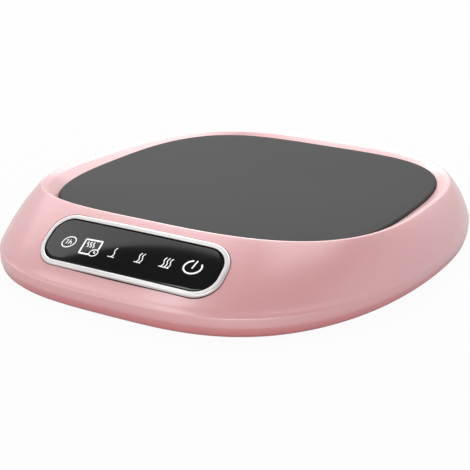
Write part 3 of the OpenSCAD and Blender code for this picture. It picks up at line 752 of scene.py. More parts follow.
@dataclass
class Housing:
    """The pink shell: rim, sloping sides, front apron and tucked lower band.

    A share runs from 0 at the crest to 1 at the shoulder, and the groove lists shares with
    the depth below the slope there. A boss and its bore are radius, lowest and highest height.
    """

    plate_half: Pair = (52.0, 54.6)
    plate_shape: Pair = (3.85, 2.72)
    centre_y: float = 6.3
    plate_top: float = 16.4
    side: float = 64.6
    front: float = 81.2
    back: float = 68.6
    shoulder_shape: Pair = (3.23, 2.1)
    shoulder_z: float = 6.0
    rim_half: Pair = (56.6, 60.06)
    rim_shape: Pair = (3.1, 2.86)
    rim_shift: float = -0.94
    rim_height: float = 2.4
    rim_rise: float = 0.029
    rim_saddle: float = 0.00023
    swell: float = 0.9
    outer_shares: tuple[float, float, int] = (0.08, 0.9, 23)
    inner_shares: tuple[float, ...] = (0.84, 0.64, 0.42, 0.22)
    groove: tuple[Pair, ...] = ((0.93, 0.05), (0.955, 0.13), (0.978, 0.12))
    wall: float = 2.2
    skirt_z: float = 0.4
    band_z: float = 3.4
    turn_z: float = 1.4
    tuck: float = 1.6
    skirt: float = 4.4
    skirt_top: float = 3.4
    well_gap: float = 1.1
    lip_gap: float = 0.16
    lip_drops: Pair = (1.6, 1.1)
    well_top: float = 15.7
    well_wall: float = 1.6
    ledge_z: float = 10.3
    ledge_top: float = 11.8
    ledge_inset: float = 8.0
    ridge_drop: float = 4.4
    lip_share: float = 0.62
    lip_rise: float = 0.25
    crest_round: float = 0.6
    columns: int = 288
    boss_turns: tuple[float, ...] = (45.0, 135.0, 230.0, 310.0)
    boss_out: float = 1.5
    boss: Xyz = (3.2, 3.2, 10.8)
    boss_round: float = 0.2
    bore: Xyz = (1.3, 2.0, 10.6)
    sharp_edge: float = 32.0

    def __post_init__(self) -> None:
        """Works out the outlines."""
        half_x, half_y = self.plate_half
        rim_x, rim_y = self.rim_half
        self.plate = Outline(half_x, half_y, half_y, self.plate_shape, self.centre_y)
        self.shoulder = Outline(self.side, self.front, self.back, self.shoulder_shape,
                                self.centre_y)
        self.rim = Outline(rim_x, rim_y, rim_y, self.rim_shape, self.centre_y + self.rim_shift)
        self.turns = self.shoulder.even_turns(self.columns)

    def rim_z(self, flat: Array) -> Array:
        """Height of the rim: it rises towards the front and dips at the sides.

        z = top + h - rise (y - c) - saddle (x^2 - (y - c)^2).
        """
        x, y = flat[..., 0], flat[..., 1] - self.centre_y
        return (self.plate_top + self.rim_height - self.rim_rise * y
                - self.rim_saddle * (x * x - y * y))

    def crest(self, turn: Array) -> Array:
        """Points along the rim's crest."""
        flat = self.rim.at(turn)
        return lifted(flat, self.rim_z(flat))

    def slope(self, turn: Array, share: float, depth: float = 0.0) -> Array:
        """Points of the slope between crest and shoulder.

        S = crest (1 - w) + shoulder w + (4 swell w (1 - w) - depth) n, where n is normal to
        the chord from crest to shoulder and points out.
        """
        top, foot = self.crest(turn), self.shoulder.ring(turn, 0.0, self.shoulder_z)
        run = (foot - top)[..., :2]
        reach = np.linalg.norm(run, axis=-1)
        lean = np.arctan2(top[..., 2] - self.shoulder_z, reach)
        out = lifted(run / column(reach) * column(np.sin(lean)), np.cos(lean))
        bulge = 4 * self.swell * share * (1 - share) - depth
        return top * (1 - share) + foot * share + bulge * out

    def section(self) -> Array:
        """The closed section of the shell at every turn.

        It goes from the crest down the outside, round the skirt, up the inside, round the
        well's ledge and back over the lip. Each entry is a ring and its corner's radius.

        Returns:
            Points [row, turn, xyz].
        """
        t, plate, foot = self.turns, self.plate, self.shoulder
        crest = self.crest(t)
        well = plate.ring(t, -self.lip_gap, self.well_top)
        lip = well * (1 - self.lip_share) + crest * self.lip_share
        lip[:, 2] += self.lip_rise
        behind = -self.well_gap - self.well_wall
        ridge = plate.ring(t, behind, 0.0)
        ridge[:, 2] = self.rim_z(ridge[:, :2]) - self.ridge_drop
        outside = [(w, 0.0) for w in np.linspace(*self.outer_shares)] + list(self.groove)
        corners = [
            (crest, self.crest_round),
            *((self.slope(t, w, depth), 0.0) for w, depth in outside),
            (self.slope(t, 1.0), 1.2),
            (foot.ring(t, 0.05, self.band_z), 1.6),
            (foot.ring(t, 0.35 * self.tuck, self.turn_z), 0.9),
            (foot.ring(t, self.tuck, self.skirt_z), 0.4),
            (foot.ring(t, self.skirt, self.skirt_z), 0.25),
            (foot.ring(t, self.skirt, self.skirt_top), 0.2),
            (foot.ring(t, self.wall + 0.2, self.shoulder_z - 0.4), 0.6),
            *((self.slope(t, w, self.wall), 0.0) for w in self.inner_shares),
            (ridge, 0.4),
            (plate.ring(t, behind, self.ledge_z), 0.2),
            (plate.ring(t, self.ledge_inset, self.ledge_z), 0.25),
            (plate.ring(t, self.ledge_inset, self.ledge_top), 0.25),
            (plate.ring(t, -self.well_gap, self.ledge_top), 0.3),
            (plate.ring(t, -self.well_gap, self.well_top - self.lip_drops[0]), 0.2),
            (plate.ring(t, -self.lip_gap, self.well_top - self.lip_drops[1]), 0.2),
            (well, 0.35),
            (lip, 2.5),
        ]
        rows = np.stack([ring for ring, _ in corners])
        return fillet(rows, [radius for _, radius in corners], steps=7, closed=True)

    def boss_points(self) -> Array:
        """Centres of the four bosses that take the base's screws."""
        return self.plate.at(np.radians(self.boss_turns), -self.boss_out)

    def build(self, panel: "TouchPanel", inlet: "CordInlet") -> None:
        """Makes the shell, with its bosses and the openings of the panel and the inlet."""
        shell = Skin().grid(self.section(), wrap_rows=True).piece("housing_shell", False, False)
        bosses = rods("boss", self.boss_points(), self.boss, 40, self.boss_round)
        carve(shell, bosses + panel.bosses() + [inlet.wall_block()], join=True)
        bores = rods("bore", self.boss_points(), self.bore, 32)
        carve(shell, bores + panel.openings() + inlet.openings())
        sharpen(shell, self.sharp_edge)
        settle(shell, PINK_PEARL, ["top_shell"])


# ---------------------------------------------------------------- touch panel


@dataclass
class TouchPanel:
    """The bent window with its six symbols, in a silver bezel.

    Its own frame has X along the panel, Y up the slope and Z out of the face. The face is
    bent to z = -x^2 / (2 bend) and its outline rises by x^2 / (2 arch) towards its ends.
    """

    housing: Housing
    shift: float = 1.2
    along: float = 0.458
    tilt: float = 35.26555
    bend: float = 225.0
    arch: float = 450.0
    size: Xyz = (56.4, 16.9, 7.1)
    rim: float = 1.4
    proud: float = 0.5
    shelf: float = 1.2
    board_z: float = -5.4
    pocket_top: float = 6.6
    window_top: float = 0.3
    window_t: float = 1.6
    window_gap: float = 0.42
    gap_shade_lap: float = 0.06
    fit: float = 0.15
    key_pitch: float = 7.8
    key_shift: float = 0.2
    key_count: int = 6
    key_radius: float = 2.5
    key_wire: float = 0.4
    key_coils: int = 3
    ink: float = 0.03
    ink_sunk: float = 0.05
    symbol_x: tuple[float, ...] = (-19.4, -11.7, -3.9, 4.3, 12.0, 19.15)
    row_y: float = -0.92
    row_x: float = -3.5
    row_r: float = 190.0
    lean: float = 0.18
    squat: float = 0.86
    boss_x: float = 30.65
    boss_r: float = 2.1
    boss_h: float = 1.8
    bore_r: float = 0.85
    bore_h: float = 1.6

    def __post_init__(self) -> None:
        """Sets the panel's origin on the middle line of the front slope."""
        self.origin = self.housing.slope(np.array([-np.pi / 2]), self.along)[0]

    def world(self, points: Array) -> Array:
        """Points of the panel's frame in the object's frame: a turn about X and a move."""
        a = np.radians(self.tilt)
        x, y, z = points[..., 0], points[..., 1], points[..., 2]
        return np.stack([x + self.shift, self.origin[1] + y * np.cos(a) - z * np.sin(a),
                         self.origin[2] + y * np.sin(a) + z * np.cos(a)], -1)

    def rounded_box(self, inset: float) -> Array:
        """Rounded rectangle of the bezel's outline, set in by inset, bent up by the arch.

        Each quarter is an arc of radius r - inset about its corner's centre, joined by
        straight sides, and y then gains x^2 / (2 arch).

        Args:
            inset: distance in from the bezel's outer edge.

        Returns:
            Points [n, 2], anticlockwise; n is the same for every inset.
        """
        w, h, r = self.size
        half_w, half_h = w / 2 - inset, max(h / 2 - inset, 0.0)
        r = min(max(r - inset, 0.0), half_h)
        angle = np.radians(np.linspace(0, 90, 15))
        quarter = np.stack([half_w - r + r * np.cos(angle), half_h - r + r * np.sin(angle)], -1)
        side = np.linspace(half_w - r, r - half_w, 42)[1:-1]
        top = np.stack([side, np.full(len(side), half_h)], -1)
        upper = np.concatenate([quarter, top, quarter[::-1] * (-1, 1)])
        flat = np.concatenate([upper, -upper])
        flat[:, 1] += flat[:, 0] ** 2 / (2 * self.arch)
        return flat

    def bent(self, flat: Array, z: float) -> Array:
        """Points x, y at height z over the bent face."""
        return lifted(flat, z - flat[:, 0] ** 2 / (2 * self.bend))

    def loop(self, inset: float, z: float) -> Array:
        """The outline at height z over the bent face."""
        return self.bent(self.rounded_box(inset), z)

    def level(self, inset: float, z: float) -> Array:
        """The outline on a flat at height z."""
        return lifted(self.rounded_box(inset), z)

    def capped(self, loops: list[Array], radii: list[float]) -> Skin:
        """Closed skin over loops given from the bottom middle round to the top middle."""
        return Skin().grid(self.world(fillet(np.stack(loops), radii, 5)), flip=True)

    def boss_points(self) -> list[Pair]:
        """Where the touch board's two screws are, in the panel's frame."""
        return [(side * self.boss_x, self.boss_x ** 2 / (2 * self.arch)) for side in (-1, 1)]

    def bosses(self) -> list[Object]:
        """The two bosses that carry the touch board."""
        size = (self.boss_r, self.board_z, self.board_z + self.boss_h)
        return rods("panel_boss", self.boss_points(), size, 32, 0.15, self.world)

    def openings(self) -> list[Object]:
        """What the panel cuts out of the shell: its pocket and the two screw bores."""
        middle, low, high = self.size[1] / 2, self.board_z - 0.02, self.pocket_top
        pocket = self.capped([self.level(middle, low), self.level(-self.fit, low),
                              self.level(-self.fit, high), self.level(middle, high)], [0] * 4)
        bore = (self.bore_r, self.board_z - 1, self.board_z + self.bore_h)
        return [pocket.piece("panel_pocket"),
                *rods("panel_bore", self.boss_points(), bore, 24, place=self.world)]

    def bezel(self) -> None:
        """The silver frame: a rounded rim, a seat for the window and a skirt."""
        seat, inner = self.window_top - self.window_t, self.rim + self.shelf
        loops = [self.level(0.0, self.board_z), self.loop(0.0, self.proud),
                 self.loop(self.rim, self.proud), self.loop(self.rim, seat),
                 self.loop(inner, seat), self.level(inner, self.board_z)]
        rows = fillet(np.stack(loops), [0.15, 0.5, 0.22, 0.1, 0.1, 0.1], 8, closed=True)
        settle(Skin().grid(self.world(rows), wrap_rows=True, flip=True).piece("panel_bezel"),
               BEZEL_CHROME, ["control_bezel"])

    def window(self) -> None:
        """The bent black window, with a softened edge, closed by loops to its middle line."""
        edge = self.rim + self.window_gap
        low, high = self.window_top - self.window_t, self.window_top
        insets = [*(edge + np.array([0.6, 1.6, 3.0, 4.5])), self.size[1] / 2]
        loops = [*(self.loop(i, low) for i in insets[::-1]), self.loop(edge, low),
                 self.loop(edge, high), *(self.loop(i, high) for i in insets)]
        flat = [0.0] * len(insets)
        settle(self.capped(loops, flat + [0.1, 0.12] + flat).piece("panel_window"),
               WINDOW_PMMA, ["touch_window"])

    def gap_shade_fills(self) -> None:
        """Black fills in the gaps round the window and between the bezel and the shell: painted
        shade for the shadow in those gaps.
        """
        skin = Skin()
        edge = self.rim + self.window_gap + self.gap_shade_lap
        for outer, inner, low, high in ((self.rim, edge, -1.3, 0.32),
                                        (-self.fit, 0.0, -1.6, -0.3)):
            loops = [self.loop(outer, low), self.loop(outer, high), self.loop(inner, high),
                     self.loop(inner, low)]
            skin.grid(self.world(np.stack(loops)), wrap_rows=True, flip=True)
        piece = skin.piece("panel_gap_shade_fills")
        sharpen(piece)
        settle(piece, GAP_SHADE_FILL)

    def stroke(self, skin: Skin, path: Array, width: float, closed: bool) -> None:
        """Adds one printed line to a skin.

        The path's normal m gives the edges path + m width/2 and path - m width/2, and the
        section is a low box that stands ink mm proud of the window.

        Args:
            skin: what the line is added to.
            path: points [n, 2] in the panel's frame.
            width: width of the line.
            closed: whether the path is a ring, given without its first point repeated.
        """
        if closed:
            along = np.roll(path, -1, 0) - np.roll(path, 1, 0)
        else:
            along = np.gradient(path, axis=0)
        along = unit(along)
        out = np.stack([along[:, 1], -along[:, 0]], -1) * width / 2
        rows = np.stack([self.bent(flat, self.window_top + z) for flat, z in (
            (path + out, -self.ink_sunk), (path + out, self.ink), (path - out, self.ink),
            (path - out, -self.ink_sunk))], 1)
        if not closed:
            start, end = rows[:1].mean(1, keepdims=True), rows[-1:].mean(1, keepdims=True)
            rows = np.concatenate([np.repeat(start, 4, 1), rows, np.repeat(end, 4, 1)])
        skin.grid(self.world(rows), wrap_rows=closed)

    def symbols(self) -> None:
        """Prints the six generic symbols, one piece each.

        Their middles follow the curve y = row_y + (x - row_x)^2 / (2 row_r).
        """
        marks = {"hour_timer": self.hour_timer, "warm_timer": self.warm_timer,
                 "steam_low": partial(self.wisps, 1), "steam_mid": partial(self.wisps, 2),
                 "steam_high": partial(self.wisps, 3), "power": self.power}
        for x, (name, strokes) in zip(self.symbol_x, marks.items()):
            skin = Skin()
            at = np.array([x, self.row_y + (x - self.row_x) ** 2 / (2 * self.row_r)])
            for path, width, closed in strokes():
                self.stroke(skin, at + path, width, closed)
            settle(skin.piece("symbol_" + name), SYMBOL_INK)

    def leaned(self, points: Array) -> Array:
        """Points (x, y) moved to (x + lean y, squat y)."""
        return np.stack([points[..., 0] + self.lean * points[..., 1],
                         self.squat * points[..., 1]], -1)

    def arc(self, radius: float, start: float, end: float, count: int = 40) -> Array:
        """Points of a leaned arc between two angles in degrees."""
        a = np.radians(np.linspace(start, end, count))
        return self.leaned(radius * np.stack([np.cos(a), np.sin(a)], -1))

    @staticmethod
    def line(*corners: Pair) -> Array:
        """Points along straight runs between corners, six steps to a run."""
        p = np.array(corners, float)
        u = np.linspace(0, len(p) - 1, 6 * (len(p) - 1) + 1)
        return np.stack([np.interp(u, np.arange(len(p)), p[:, k]) for k in (0, 1)], -1)

    @staticmethod
    def steam(foot: Pair, height: float, sway: float = 0.3) -> Array:
        """A rising wisp: x = sway sin(2 pi v) over the height, with v from 0 to 1."""
        v = np.linspace(0, 1, 24)
        return np.stack([foot[0] + sway * np.sin(2 * np.pi * v), foot[1] + height * v], -1)

    def hour_timer(self) -> list[Stroke]:
        """A ring round a small figure one and its hour mark."""
        marks = (self.line((-1.05, 0.55), (-0.65, 0.9), (-0.65, -0.8)),
                 self.line((0.15, 1.0), (0.15, -0.8)),
                 self.line((0.15, 0.0), (0.5, 0.25), (0.9, 0.0), (0.9, -0.8)))
        return [(self.arc(2.05, 0, 360, 49)[:-1], 0.3, True),
                *((self.leaned(mark), 0.2, False) for mark in marks)]

    def warm_timer(self) -> list[Stroke]:
        """A square sheet with three wisps and a small clock over its corner."""
        sheet = self.line((0.5, -2.3), (-2.7, -2.3), (-2.7, 2.3), (2.7, 2.3), (2.7, -0.4))
        clock = np.array([1.75, -1.55])
        hands = self.line((0.1, 0.75), (0.0, 0.0), (0.6, 0.0))
        return [(sheet, 0.5, False),
                *((self.steam((x, -0.1), 1.75), 0.3, False) for x in (-1.35, -0.4, 0.55)),
                (clock + self.arc(1.25, 0, 360, 41)[:-1], 0.28, True),
                (clock + hands, 0.26, False)]

    def wisps(self, count: int) -> list[Stroke]:
        """A base line with count wisps over it."""
        spread = 0.95
        half = 0.45 + 0.5 * spread * (count - 1) if count > 1 else 0.95
        base = self.leaned(self.line((-half - 0.2, -1.7), (half, -1.7)))
        feet = [((k - (count - 1) / 2) * spread, -1.6) for k in range(count)]
        return [(base, 0.22, False),
                *((self.leaned(self.steam(foot, 3.4)), 0.25, False) for foot in feet)]

    def power(self) -> list[Stroke]:
        """The stand-by mark: a ring open at its top, and a bar."""
        return [(self.arc(2.35, 112, 405), 0.44, False),
                (self.leaned(self.line((0.0, -0.5), (0.1, 2.5))), 0.4, False)]

    def key_springs(self) -> None:
        """The six coil springs that carry the touch signal up to the window."""
        skin = Skin()
        steps = np.arange(self.key_count) - (self.key_count - 1) / 2
        for x in self.key_shift + steps * self.key_pitch:
            far = abs(x) + self.key_radius
            top = self.window_top - self.window_t - far ** 2 / (2 * self.bend)
            path = coil(self.key_radius, self.key_wire, self.key_coils, self.board_z, top)
            path = path + (x, x * x / (2 * self.arch), 0.0)
            skin.grid(self.world(sweep(path, self.key_wire / 2, 8)))
        settle(skin.piece("key_springs"), SPRING_STEEL, ["touch_springs"])

    def build(self) -> None:
        """Makes the whole panel."""
        self.bezel()
        self.gap_shade_fills()
        self.window()
        self.symbols()
        self.key_springs()


# ---------------------------------------------------------------- floating plate


@dataclass
class FloatingPlate:
    """The glass plate in its silicone gasket, and the springs under it."""

    glass_z: float = 13.4
    top: float = 16.4
    edge_round: float = 0.25
    glass_inset: float = 0.3
    gasket_z: float = 13.0
    gasket_top: float = 16.2
    gasket_lip: float = 2.4
    columns: int = 256
    spring_z: Pair = (3.2, 8.8)
    spring_r: float = 4.7
    wire: float = 0.7
    coils: float = 4.5
    travel: float = 1.0

    def glass(self, outline: Outline) -> None:
        """The plate: a slab with rounded edges, closed by rings that shrink to its middle."""
        t = outline.even_turns(self.columns)
        middle = np.array([0.0, outline.centre_y, 0.0])
        bottom = outline.ring(t, self.glass_inset, self.glass_z)
        top = outline.ring(t, self.glass_inset, self.top)
        shares = [0.0, 0.35, 0.7, 0.93]
        rows = [*(middle + (bottom - middle) * (s, s, 1) for s in shares), bottom, top,
                *(middle + (top - middle) * (s, s, 1) for s in shares[::-1])]
        flat = [0.0] * len(shares)
        rows = fillet(np.stack(rows), flat + [self.edge_round] * 2 + flat)
        settle(Skin().grid(rows, flip=True).piece("plate_glass"), DARK_PLATE,
               ["heating_plate"], Body.PLATE)

    def gasket(self, outline: Outline) -> None:
        """The ring round the glass, with the lip that the glass stands on."""
        t = outline.even_turns(self.columns)
        corners = [(0.0, self.gasket_z, 0.2), (0.0, self.gasket_top, 0.12),
                   (self.glass_inset, self.gasket_top, 0.08),
                   (self.glass_inset, self.glass_z, 0.0),
                   (self.gasket_lip, self.glass_z, 0.1),
                   (self.gasket_lip, self.gasket_z, 0.1)]
        rows = np.stack([outline.ring(t, inset, z) for inset, z, _ in corners])
        rows = fillet(rows, [r for _, _, r in corners], 5, closed=True)
        settle(Skin().grid(rows, wrap_rows=True).piece("plate_gasket_ring"), GASKET_SILICONE,
               ["plate_gasket"], Body.PLATE)

    def springs(self) -> None:
        """The four coil springs round the guide sleeves."""
        low, high = self.spring_z
        skin = Skin()
        for x, y in GUIDES:
            path = coil(self.spring_r, self.wire, self.coils, low, high) + (x, y, 0.0)
            skin.grid(sweep(path, self.wire / 2, 10))
        springs = settle(skin.piece("guide_springs"), SPRING_STEEL,
                         ["plate_springs"])
        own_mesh(springs)

    def build(self, housing: Housing) -> None:
        """Makes the glass, the gasket and the springs."""
        self.glass(housing.plate)
        self.gasket(housing.plate)
        self.springs()


# ---------------------------------------------------------------- underside and inlet


@dataclass(frozen=True)
class Screw:
    """A cross-head screw, driven upwards, with the radii of its head and shank.

    The bars of the cross are given as shares of the head's radius: half their width, half
    their length and the width of their sloping edges.
    """

    head: float
    face_z: float
    shank: float
    tip: float
    height: float = 1.0
    recess: float = 0.6
    dome: float = 0.1
    face: float = 0.94
    edge: float = 0.28
    bars: Xyz = (0.17, 0.62, 0.08)
    neck: float = 0.9
    pitch: float = 0.9
    cut: float = 0.16
    point: float = 0.35

    def head_rows(self) -> Array:
        """The head seen from below.

        Over the polar grid (r, v) the face lies at z = dome (r/head)^2 plus the recess, whose
        depth is the larger of two bars: each bar is 1 inside half its width and falls off
        linearly.

        Returns:
            Points [row, column, xyz] with the face at z = 0 and the shank side at height.
        """
        v, top = full_turn(64), self.height
        r = np.linspace(0, 1, 22)[:, None] * self.head * self.face
        x, y = r * np.cos(v), r * np.sin(v)
        bar, reach, soft = np.array(self.bars) * self.head

        def arm(a: Array, b: Array) -> Array:
            """Depth share of the bar along a."""
            return np.clip((bar - np.abs(b)) / soft + 1, 0, 1) \
                * np.clip((reach - np.abs(a)) / soft + 0.5, 0, 1)

        z = self.recess * np.maximum(arm(x, y), arm(y, x)) \
            + self.dome * (r / self.head) ** 2 * top
        rim = np.stack([self.head * np.cos(v), self.head * np.sin(v)], -1)
        side = [lifted(rim, self.edge * top), lifted(rim, top), lifted(rim * 0, top)]
        return np.concatenate([np.stack([x, y, z], -1), np.stack(side)])

    def thread_rows(self) -> Array:
        """Threaded shank that tapers at its end.

        The radius is r (1 - cut w), with w the triangle wave of z / pitch - v / 2 pi, and it
        shrinks over the last millimetre.
        """
        low, v = self.face_z + self.neck, full_turn(32)
        z = np.linspace(low, self.tip, int((self.tip - low) / self.pitch * 8) + 2)[:, None]
        wave = np.abs(2 * ((z / self.pitch - v / (2 * np.pi)) % 1.0) - 1)
        r = self.shank * (1 - self.cut * wave) * np.clip(self.tip - z, self.point, 1)
        rows = np.stack([r * np.cos(v), r * np.sin(v), z + 0 * v], -1)
        return np.concatenate([rows[:1] * (0, 0, 1), rows, rows[-1:] * (0, 0, 1)])


@dataclass
class Underside:
    """Feet and the screws that show beneath."""

    foot_top: float = 1.9
    feet: tuple[Pair, ...] = ((35.0, -50.5), (-35.0, -50.5), (43.99, 40.18), (-43.99, 40.18))
    first_turn: float = 0.5
    next_turn: float = 0.9

    def foot_pads(self) -> None:
        """Four rubber feet with two grip grooves in each sole."""
        profile = [(0, 0.0), (2.0, 0.0), (2.2, 0.3), (2.6, 0.3), (2.8, 0.0), (3.9, 0.0),
                   (4.1, 0.3), (4.5, 0.3), (4.7, 0.0), (5.5, 0.0), (5.65, 0.42), (6.0, 0.6),
                   (6.0, self.foot_top), (0, self.foot_top)]
        radii = [0, 0.1, 0.08, 0.08, 0.1, 0.1, 0.08, 0.08, 0.1, 0.25, 0.1, 0.1, 0.1, 0]
        skin = Skin()
        for x, y in self.feet:
            skin.grid(revolve(profile, radii, (x, y, 0.0), turns=56, steps=4))
        settle(skin.piece("foot_pads"), BLACK_RUBBER, ["rubber_feet"])

    def screws(self, piece: str, node: str, body: Body, points: Array, screw: Screw) -> None:
        """Makes one node's screws, each turned a little further than the last."""
        skin = Skin()
        for number, (x, y) in enumerate(points):
            a = self.first_turn + self.next_turn * number
            spin = np.array([[np.cos(a), np.sin(a), 0], [-np.sin(a), np.cos(a), 0], [0, 0, 1]])
            skin.grid(screw.head_rows() @ spin + (x, y, screw.face_z))
            skin.grid(screw.thread_rows() + (x, y, 0.0))
        settle(skin.piece(piece), ZINC_STEEL, [node], body)

    def build(self, housing: Housing) -> None:
        """Makes the feet and both sets of screws."""
        self.foot_pads()
        self.screws("base_screws", "shell_screws", Body.HOUSING, housing.boss_points(),
                    Screw(head=2.7, face_z=1.3, shank=1.25, tip=9.3))
        self.screws("plate_stop_screws", "stop_screws", Body.PLATE, GUIDES,
                    Screw(head=2.8, face_z=2.45, shank=1.0, tip=6.9))


@dataclass
class CordInlet:
    """The rubber grommet in the rear wall, with its through bore."""

    end_y: float = 74.9
    seat_y: float = 72.2
    wall_y: float = 68.8
    inner_y: float = 67.6
    z: float = 8.8
    bore: float = 2.75
    body: float = 3.95
    collar: float = 4.75
    groove: tuple[Pair, ...] = ((3.95, 0.0), (3.8, 0.35), (3.45, 0.35), (3.3, 0.0))

    def round_tool(self, name: str, radius: float, y0: float, y1: float) -> Object:
        """A plain cylinder along Y, for cutting."""
        return Skin().grid(rod(radius, y0, y1, (0.0, 0.0, self.z), 72, axis="y")).piece(name)

    def wall_block(self) -> Object:
        """The thick ring of wall behind the rear slope that the grommet sits in."""
        return self.round_tool("inlet_wall", self.collar + 0.6, self.wall_y, self.seat_y + 1)

    def openings(self) -> list[Object]:
        """The stepped hole of the grommet."""
        return [self.round_tool("inlet_bore", self.body + 0.05, self.wall_y - 3,
                                self.end_y + 3),
                self.round_tool("inlet_pocket", self.collar + 0.4, self.seat_y,
                                self.end_y + 6)]

    def build(self) -> None:
        """Makes the grommet: a lip inside, a body through the wall and a grooved collar."""
        lip, end = self.body + 0.6, self.end_y
        profile = [(self.bore, self.inner_y), (lip, self.inner_y), (lip, self.wall_y),
                   (self.body, self.wall_y), (self.body, self.seat_y),
                   (self.collar, self.seat_y), (self.collar, end),
                   *((r, end - drop) for r, drop in self.groove), (self.bore, end)]
        radii = [0.3, 0.3, 0.1, 0.1, 0.1, 0.2, 0.5, 0.1, 0.1, 0.1, 0.1, 0.4]
        rows = revolve(profile, radii, (0.0, 0.0, self.z), "y", 80, closed=True)
        settle(Skin().grid(rows, wrap_rows=True).piece("inlet_grommet"), BLACK_RUBBER,
               ["cord_grommet"])


# ---------------------------------------------------------------- studio


@dataclass(frozen=True)
class Softbox:
    """A soft lamp one metre from the object, facing it.

    Azimuth is in degrees from the front, positive to the right, and elevation in degrees
    above the table. Size is width and height in metres, power is in watts, and roll turns the
    lamp about its own axis.
    """

    name: str
    azimuth: float
    elevation: float
    size: Pair
    power: float
    roll: float = 0.0

    def build(self) -> None:
        """Adds the lamp."""
        data = bpy.data.lights.new(self.name, "AREA")
        data.shape, data.size, data.size_y = "RECTANGLE", *self.size
        data.energy = self.power
        a, e, r = np.radians([self.azimuth, self.elevation, self.roll])
        z = heading(a, e)
        flat = unit(np.cross((0.0, 0.0, 1.0), z))
        x = flat * np.cos(r) + np.cross(z, flat) * np.sin(r)
        turn = np.eye(4)
        turn[:3, :3] = np.stack([x, np.cross(z, x), z], -1)
        turn[:3, 3] = z + (0.0, 0.0, 0.012)
        in_scene(self.name, data).matrix_world = Matrix(turn.tolist())


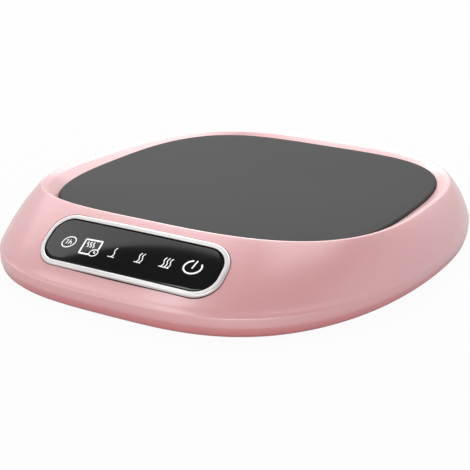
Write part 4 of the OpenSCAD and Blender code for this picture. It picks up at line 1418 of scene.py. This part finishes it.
@dataclass(frozen=True)
class Studio:
    """Pale floor, soft lamps and the camera."""

    azimuth: float = 27.923
    elevation: float = 16.592
    distance: float = 349.0
    target: Xyz = (0.0, 6.3, 16.4)
    focal_pixels: float = 1112.2
    picture: float = 470.0
    target_pixel: Pair = (253.767, 182.553)
    roll: float = 1.548
    floor_reach: float = 3000.0
    floor_glow: float = 0.95
    floor_glow_reflected: float = 0.2
    sky_heights: Pair = (0.2, 0.8)
    sky_strengths: Pair = (0.75, 0.1)
    lamps: tuple[Softbox, ...] = (
        Softbox("left_softbox", -117.8, 49.0, (0.87, 1.08), 3.4, 12.0),
        Softbox("front_strip", -46.0, 30.0, (0.6, 0.4), 1.1),
        Softbox("front_softbox", -34.0, 57.0, (0.26, 0.35), 1.1),
        Softbox("front_fill", 34.0, 15.0, (0.9, 0.35), 3.2),
        Softbox("rear_left_softbox", -147.0, 44.0, (0.5, 0.4), 2.8),
        Softbox("rear_softbox", -172.0, 44.0, (1.2, 0.8), 4.2),
        Softbox("top_softbox", 140.0, 68.0, (0.8, 0.7), 2.5),
    )

    def camera(self) -> None:
        """Sets the camera so that the target falls on its pixel.

        The camera stands at target + distance back, where back is the direction from azimuth
        and elevation. It is turned by the roll, then by the smallest turn that takes the
        picture's middle ray (0, 0, -1) to the target pixel's ray.
        """
        a, e, r = np.radians([self.azimuth, self.elevation, self.roll])
        back = heading(a, e)
        right = np.array([np.cos(a), np.sin(a), 0.0])
        up = np.cross(back, right)
        turned = np.array([right * np.cos(r) + up * np.sin(r),
                           up * np.cos(r) - right * np.sin(r), back])
        half = self.picture / 2
        ray = unit(np.array([(self.target_pixel[0] - half) / self.focal_pixels,
                             -(self.target_pixel[1] - half) / self.focal_pixels, -1.0]))
        axis = np.cross((0.0, 0.0, -1.0), ray)
        cross = np.array([[0, -axis[2], axis[1]], [axis[2], 0, -axis[0]],
                          [-axis[1], axis[0], 0]])
        lean = np.eye(3) + cross + cross @ cross / (1 - ray[2])
        world = np.eye(4)
        world[:3, :3] = (lean @ turned).T
        world[:3, 3] = (np.array(self.target) + back * self.distance) * MM
        data = bpy.data.cameras.new("camera")
        data.sensor_width = 36.0
        data.lens = self.focal_pixels / self.picture * data.sensor_width
        data.clip_start, data.clip_end = 0.01, 20.0
        made = in_scene("camera", data)
        made.matrix_world = Matrix(world.tolist())
        bpy.context.scene.camera = made

    def floor(self) -> None:
        """A pale floor that reads as white to the eye and keeps a soft shadow."""
        u = np.linspace(-self.floor_reach, self.floor_reach, 9)
        flat = np.stack(np.meshgrid(u, u, indexing="ij"), -1)
        made = Skin().grid(lifted(flat, 0.0), wrap_columns=False, flip=True).piece(
            "floor", outward=False)
        paint = bpy.data.materials.new("white_backdrop_paper")
        tree = empty_tree(paint)
        path = add_node(tree, "LightPath").outputs
        shiny = reckon(tree, "MULTIPLY", path["Is Glossy Ray"], self.floor_glow_reflected)
        seen = reckon(tree, "MAXIMUM", path["Is Camera Ray"], shiny)
        matt = add_node(tree, "BsdfDiffuse", Color=srgb("#c4c4c4"))
        glow = add_node(tree, "Emission", Color=srgb("#ffffff"), Strength=1.0)
        part = reckon(tree, "MULTIPLY", seen, self.floor_glow)
        end_tree(tree, "OutputMaterial", part, matt, glow)
        made.data.materials.append(paint)

    def world(self) -> None:
        """White behind the floor, and light that fades from the horizon to a dim ceiling."""
        made = bpy.data.worlds.new("studio")
        bpy.context.scene.world = made
        tree = empty_tree(made)
        seen = add_node(tree, "LightPath").outputs["Is Camera Ray"]
        height = add_node(tree, "SeparateXYZ",
                          Vector=add_node(tree, "TexCoord").outputs["Generated"])
        fade = ramp(tree, height.outputs["Z"], self.sky_heights, self.sky_strengths, True)
        white, soft = (add_node(tree, "Background", Color=srgb("#ffffff"), Strength=strength)
                       for strength in (1.0, fade))
        end_tree(tree, "OutputWorld", seen, soft, white)

    def build(self) -> None:
        """Sets the camera, the floor, the world and the lamps."""
        self.camera()
        self.floor()
        self.world()
        for lamp in self.lamps:
            lamp.build()
        bpy.context.scene.view_settings.view_transform = "Standard"


def main() -> None:
    """Builds every sub-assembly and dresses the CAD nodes."""
    logging.basicConfig(level=logging.INFO, format="%(name)s: %(message)s")
    housing, inlet = Housing(), CordInlet()
    panel = TouchPanel(housing)
    housing.build(panel, inlet)
    panel.build()
    inlet.build()
    FloatingPlate().build(housing)
    Underside().build(housing)
    for nodes, finish in NODE_FINISHES.items():
        for node in nodes.split():
            dress_node(node, finish)
    Studio().build()


if __name__ == "__main__":
    main()
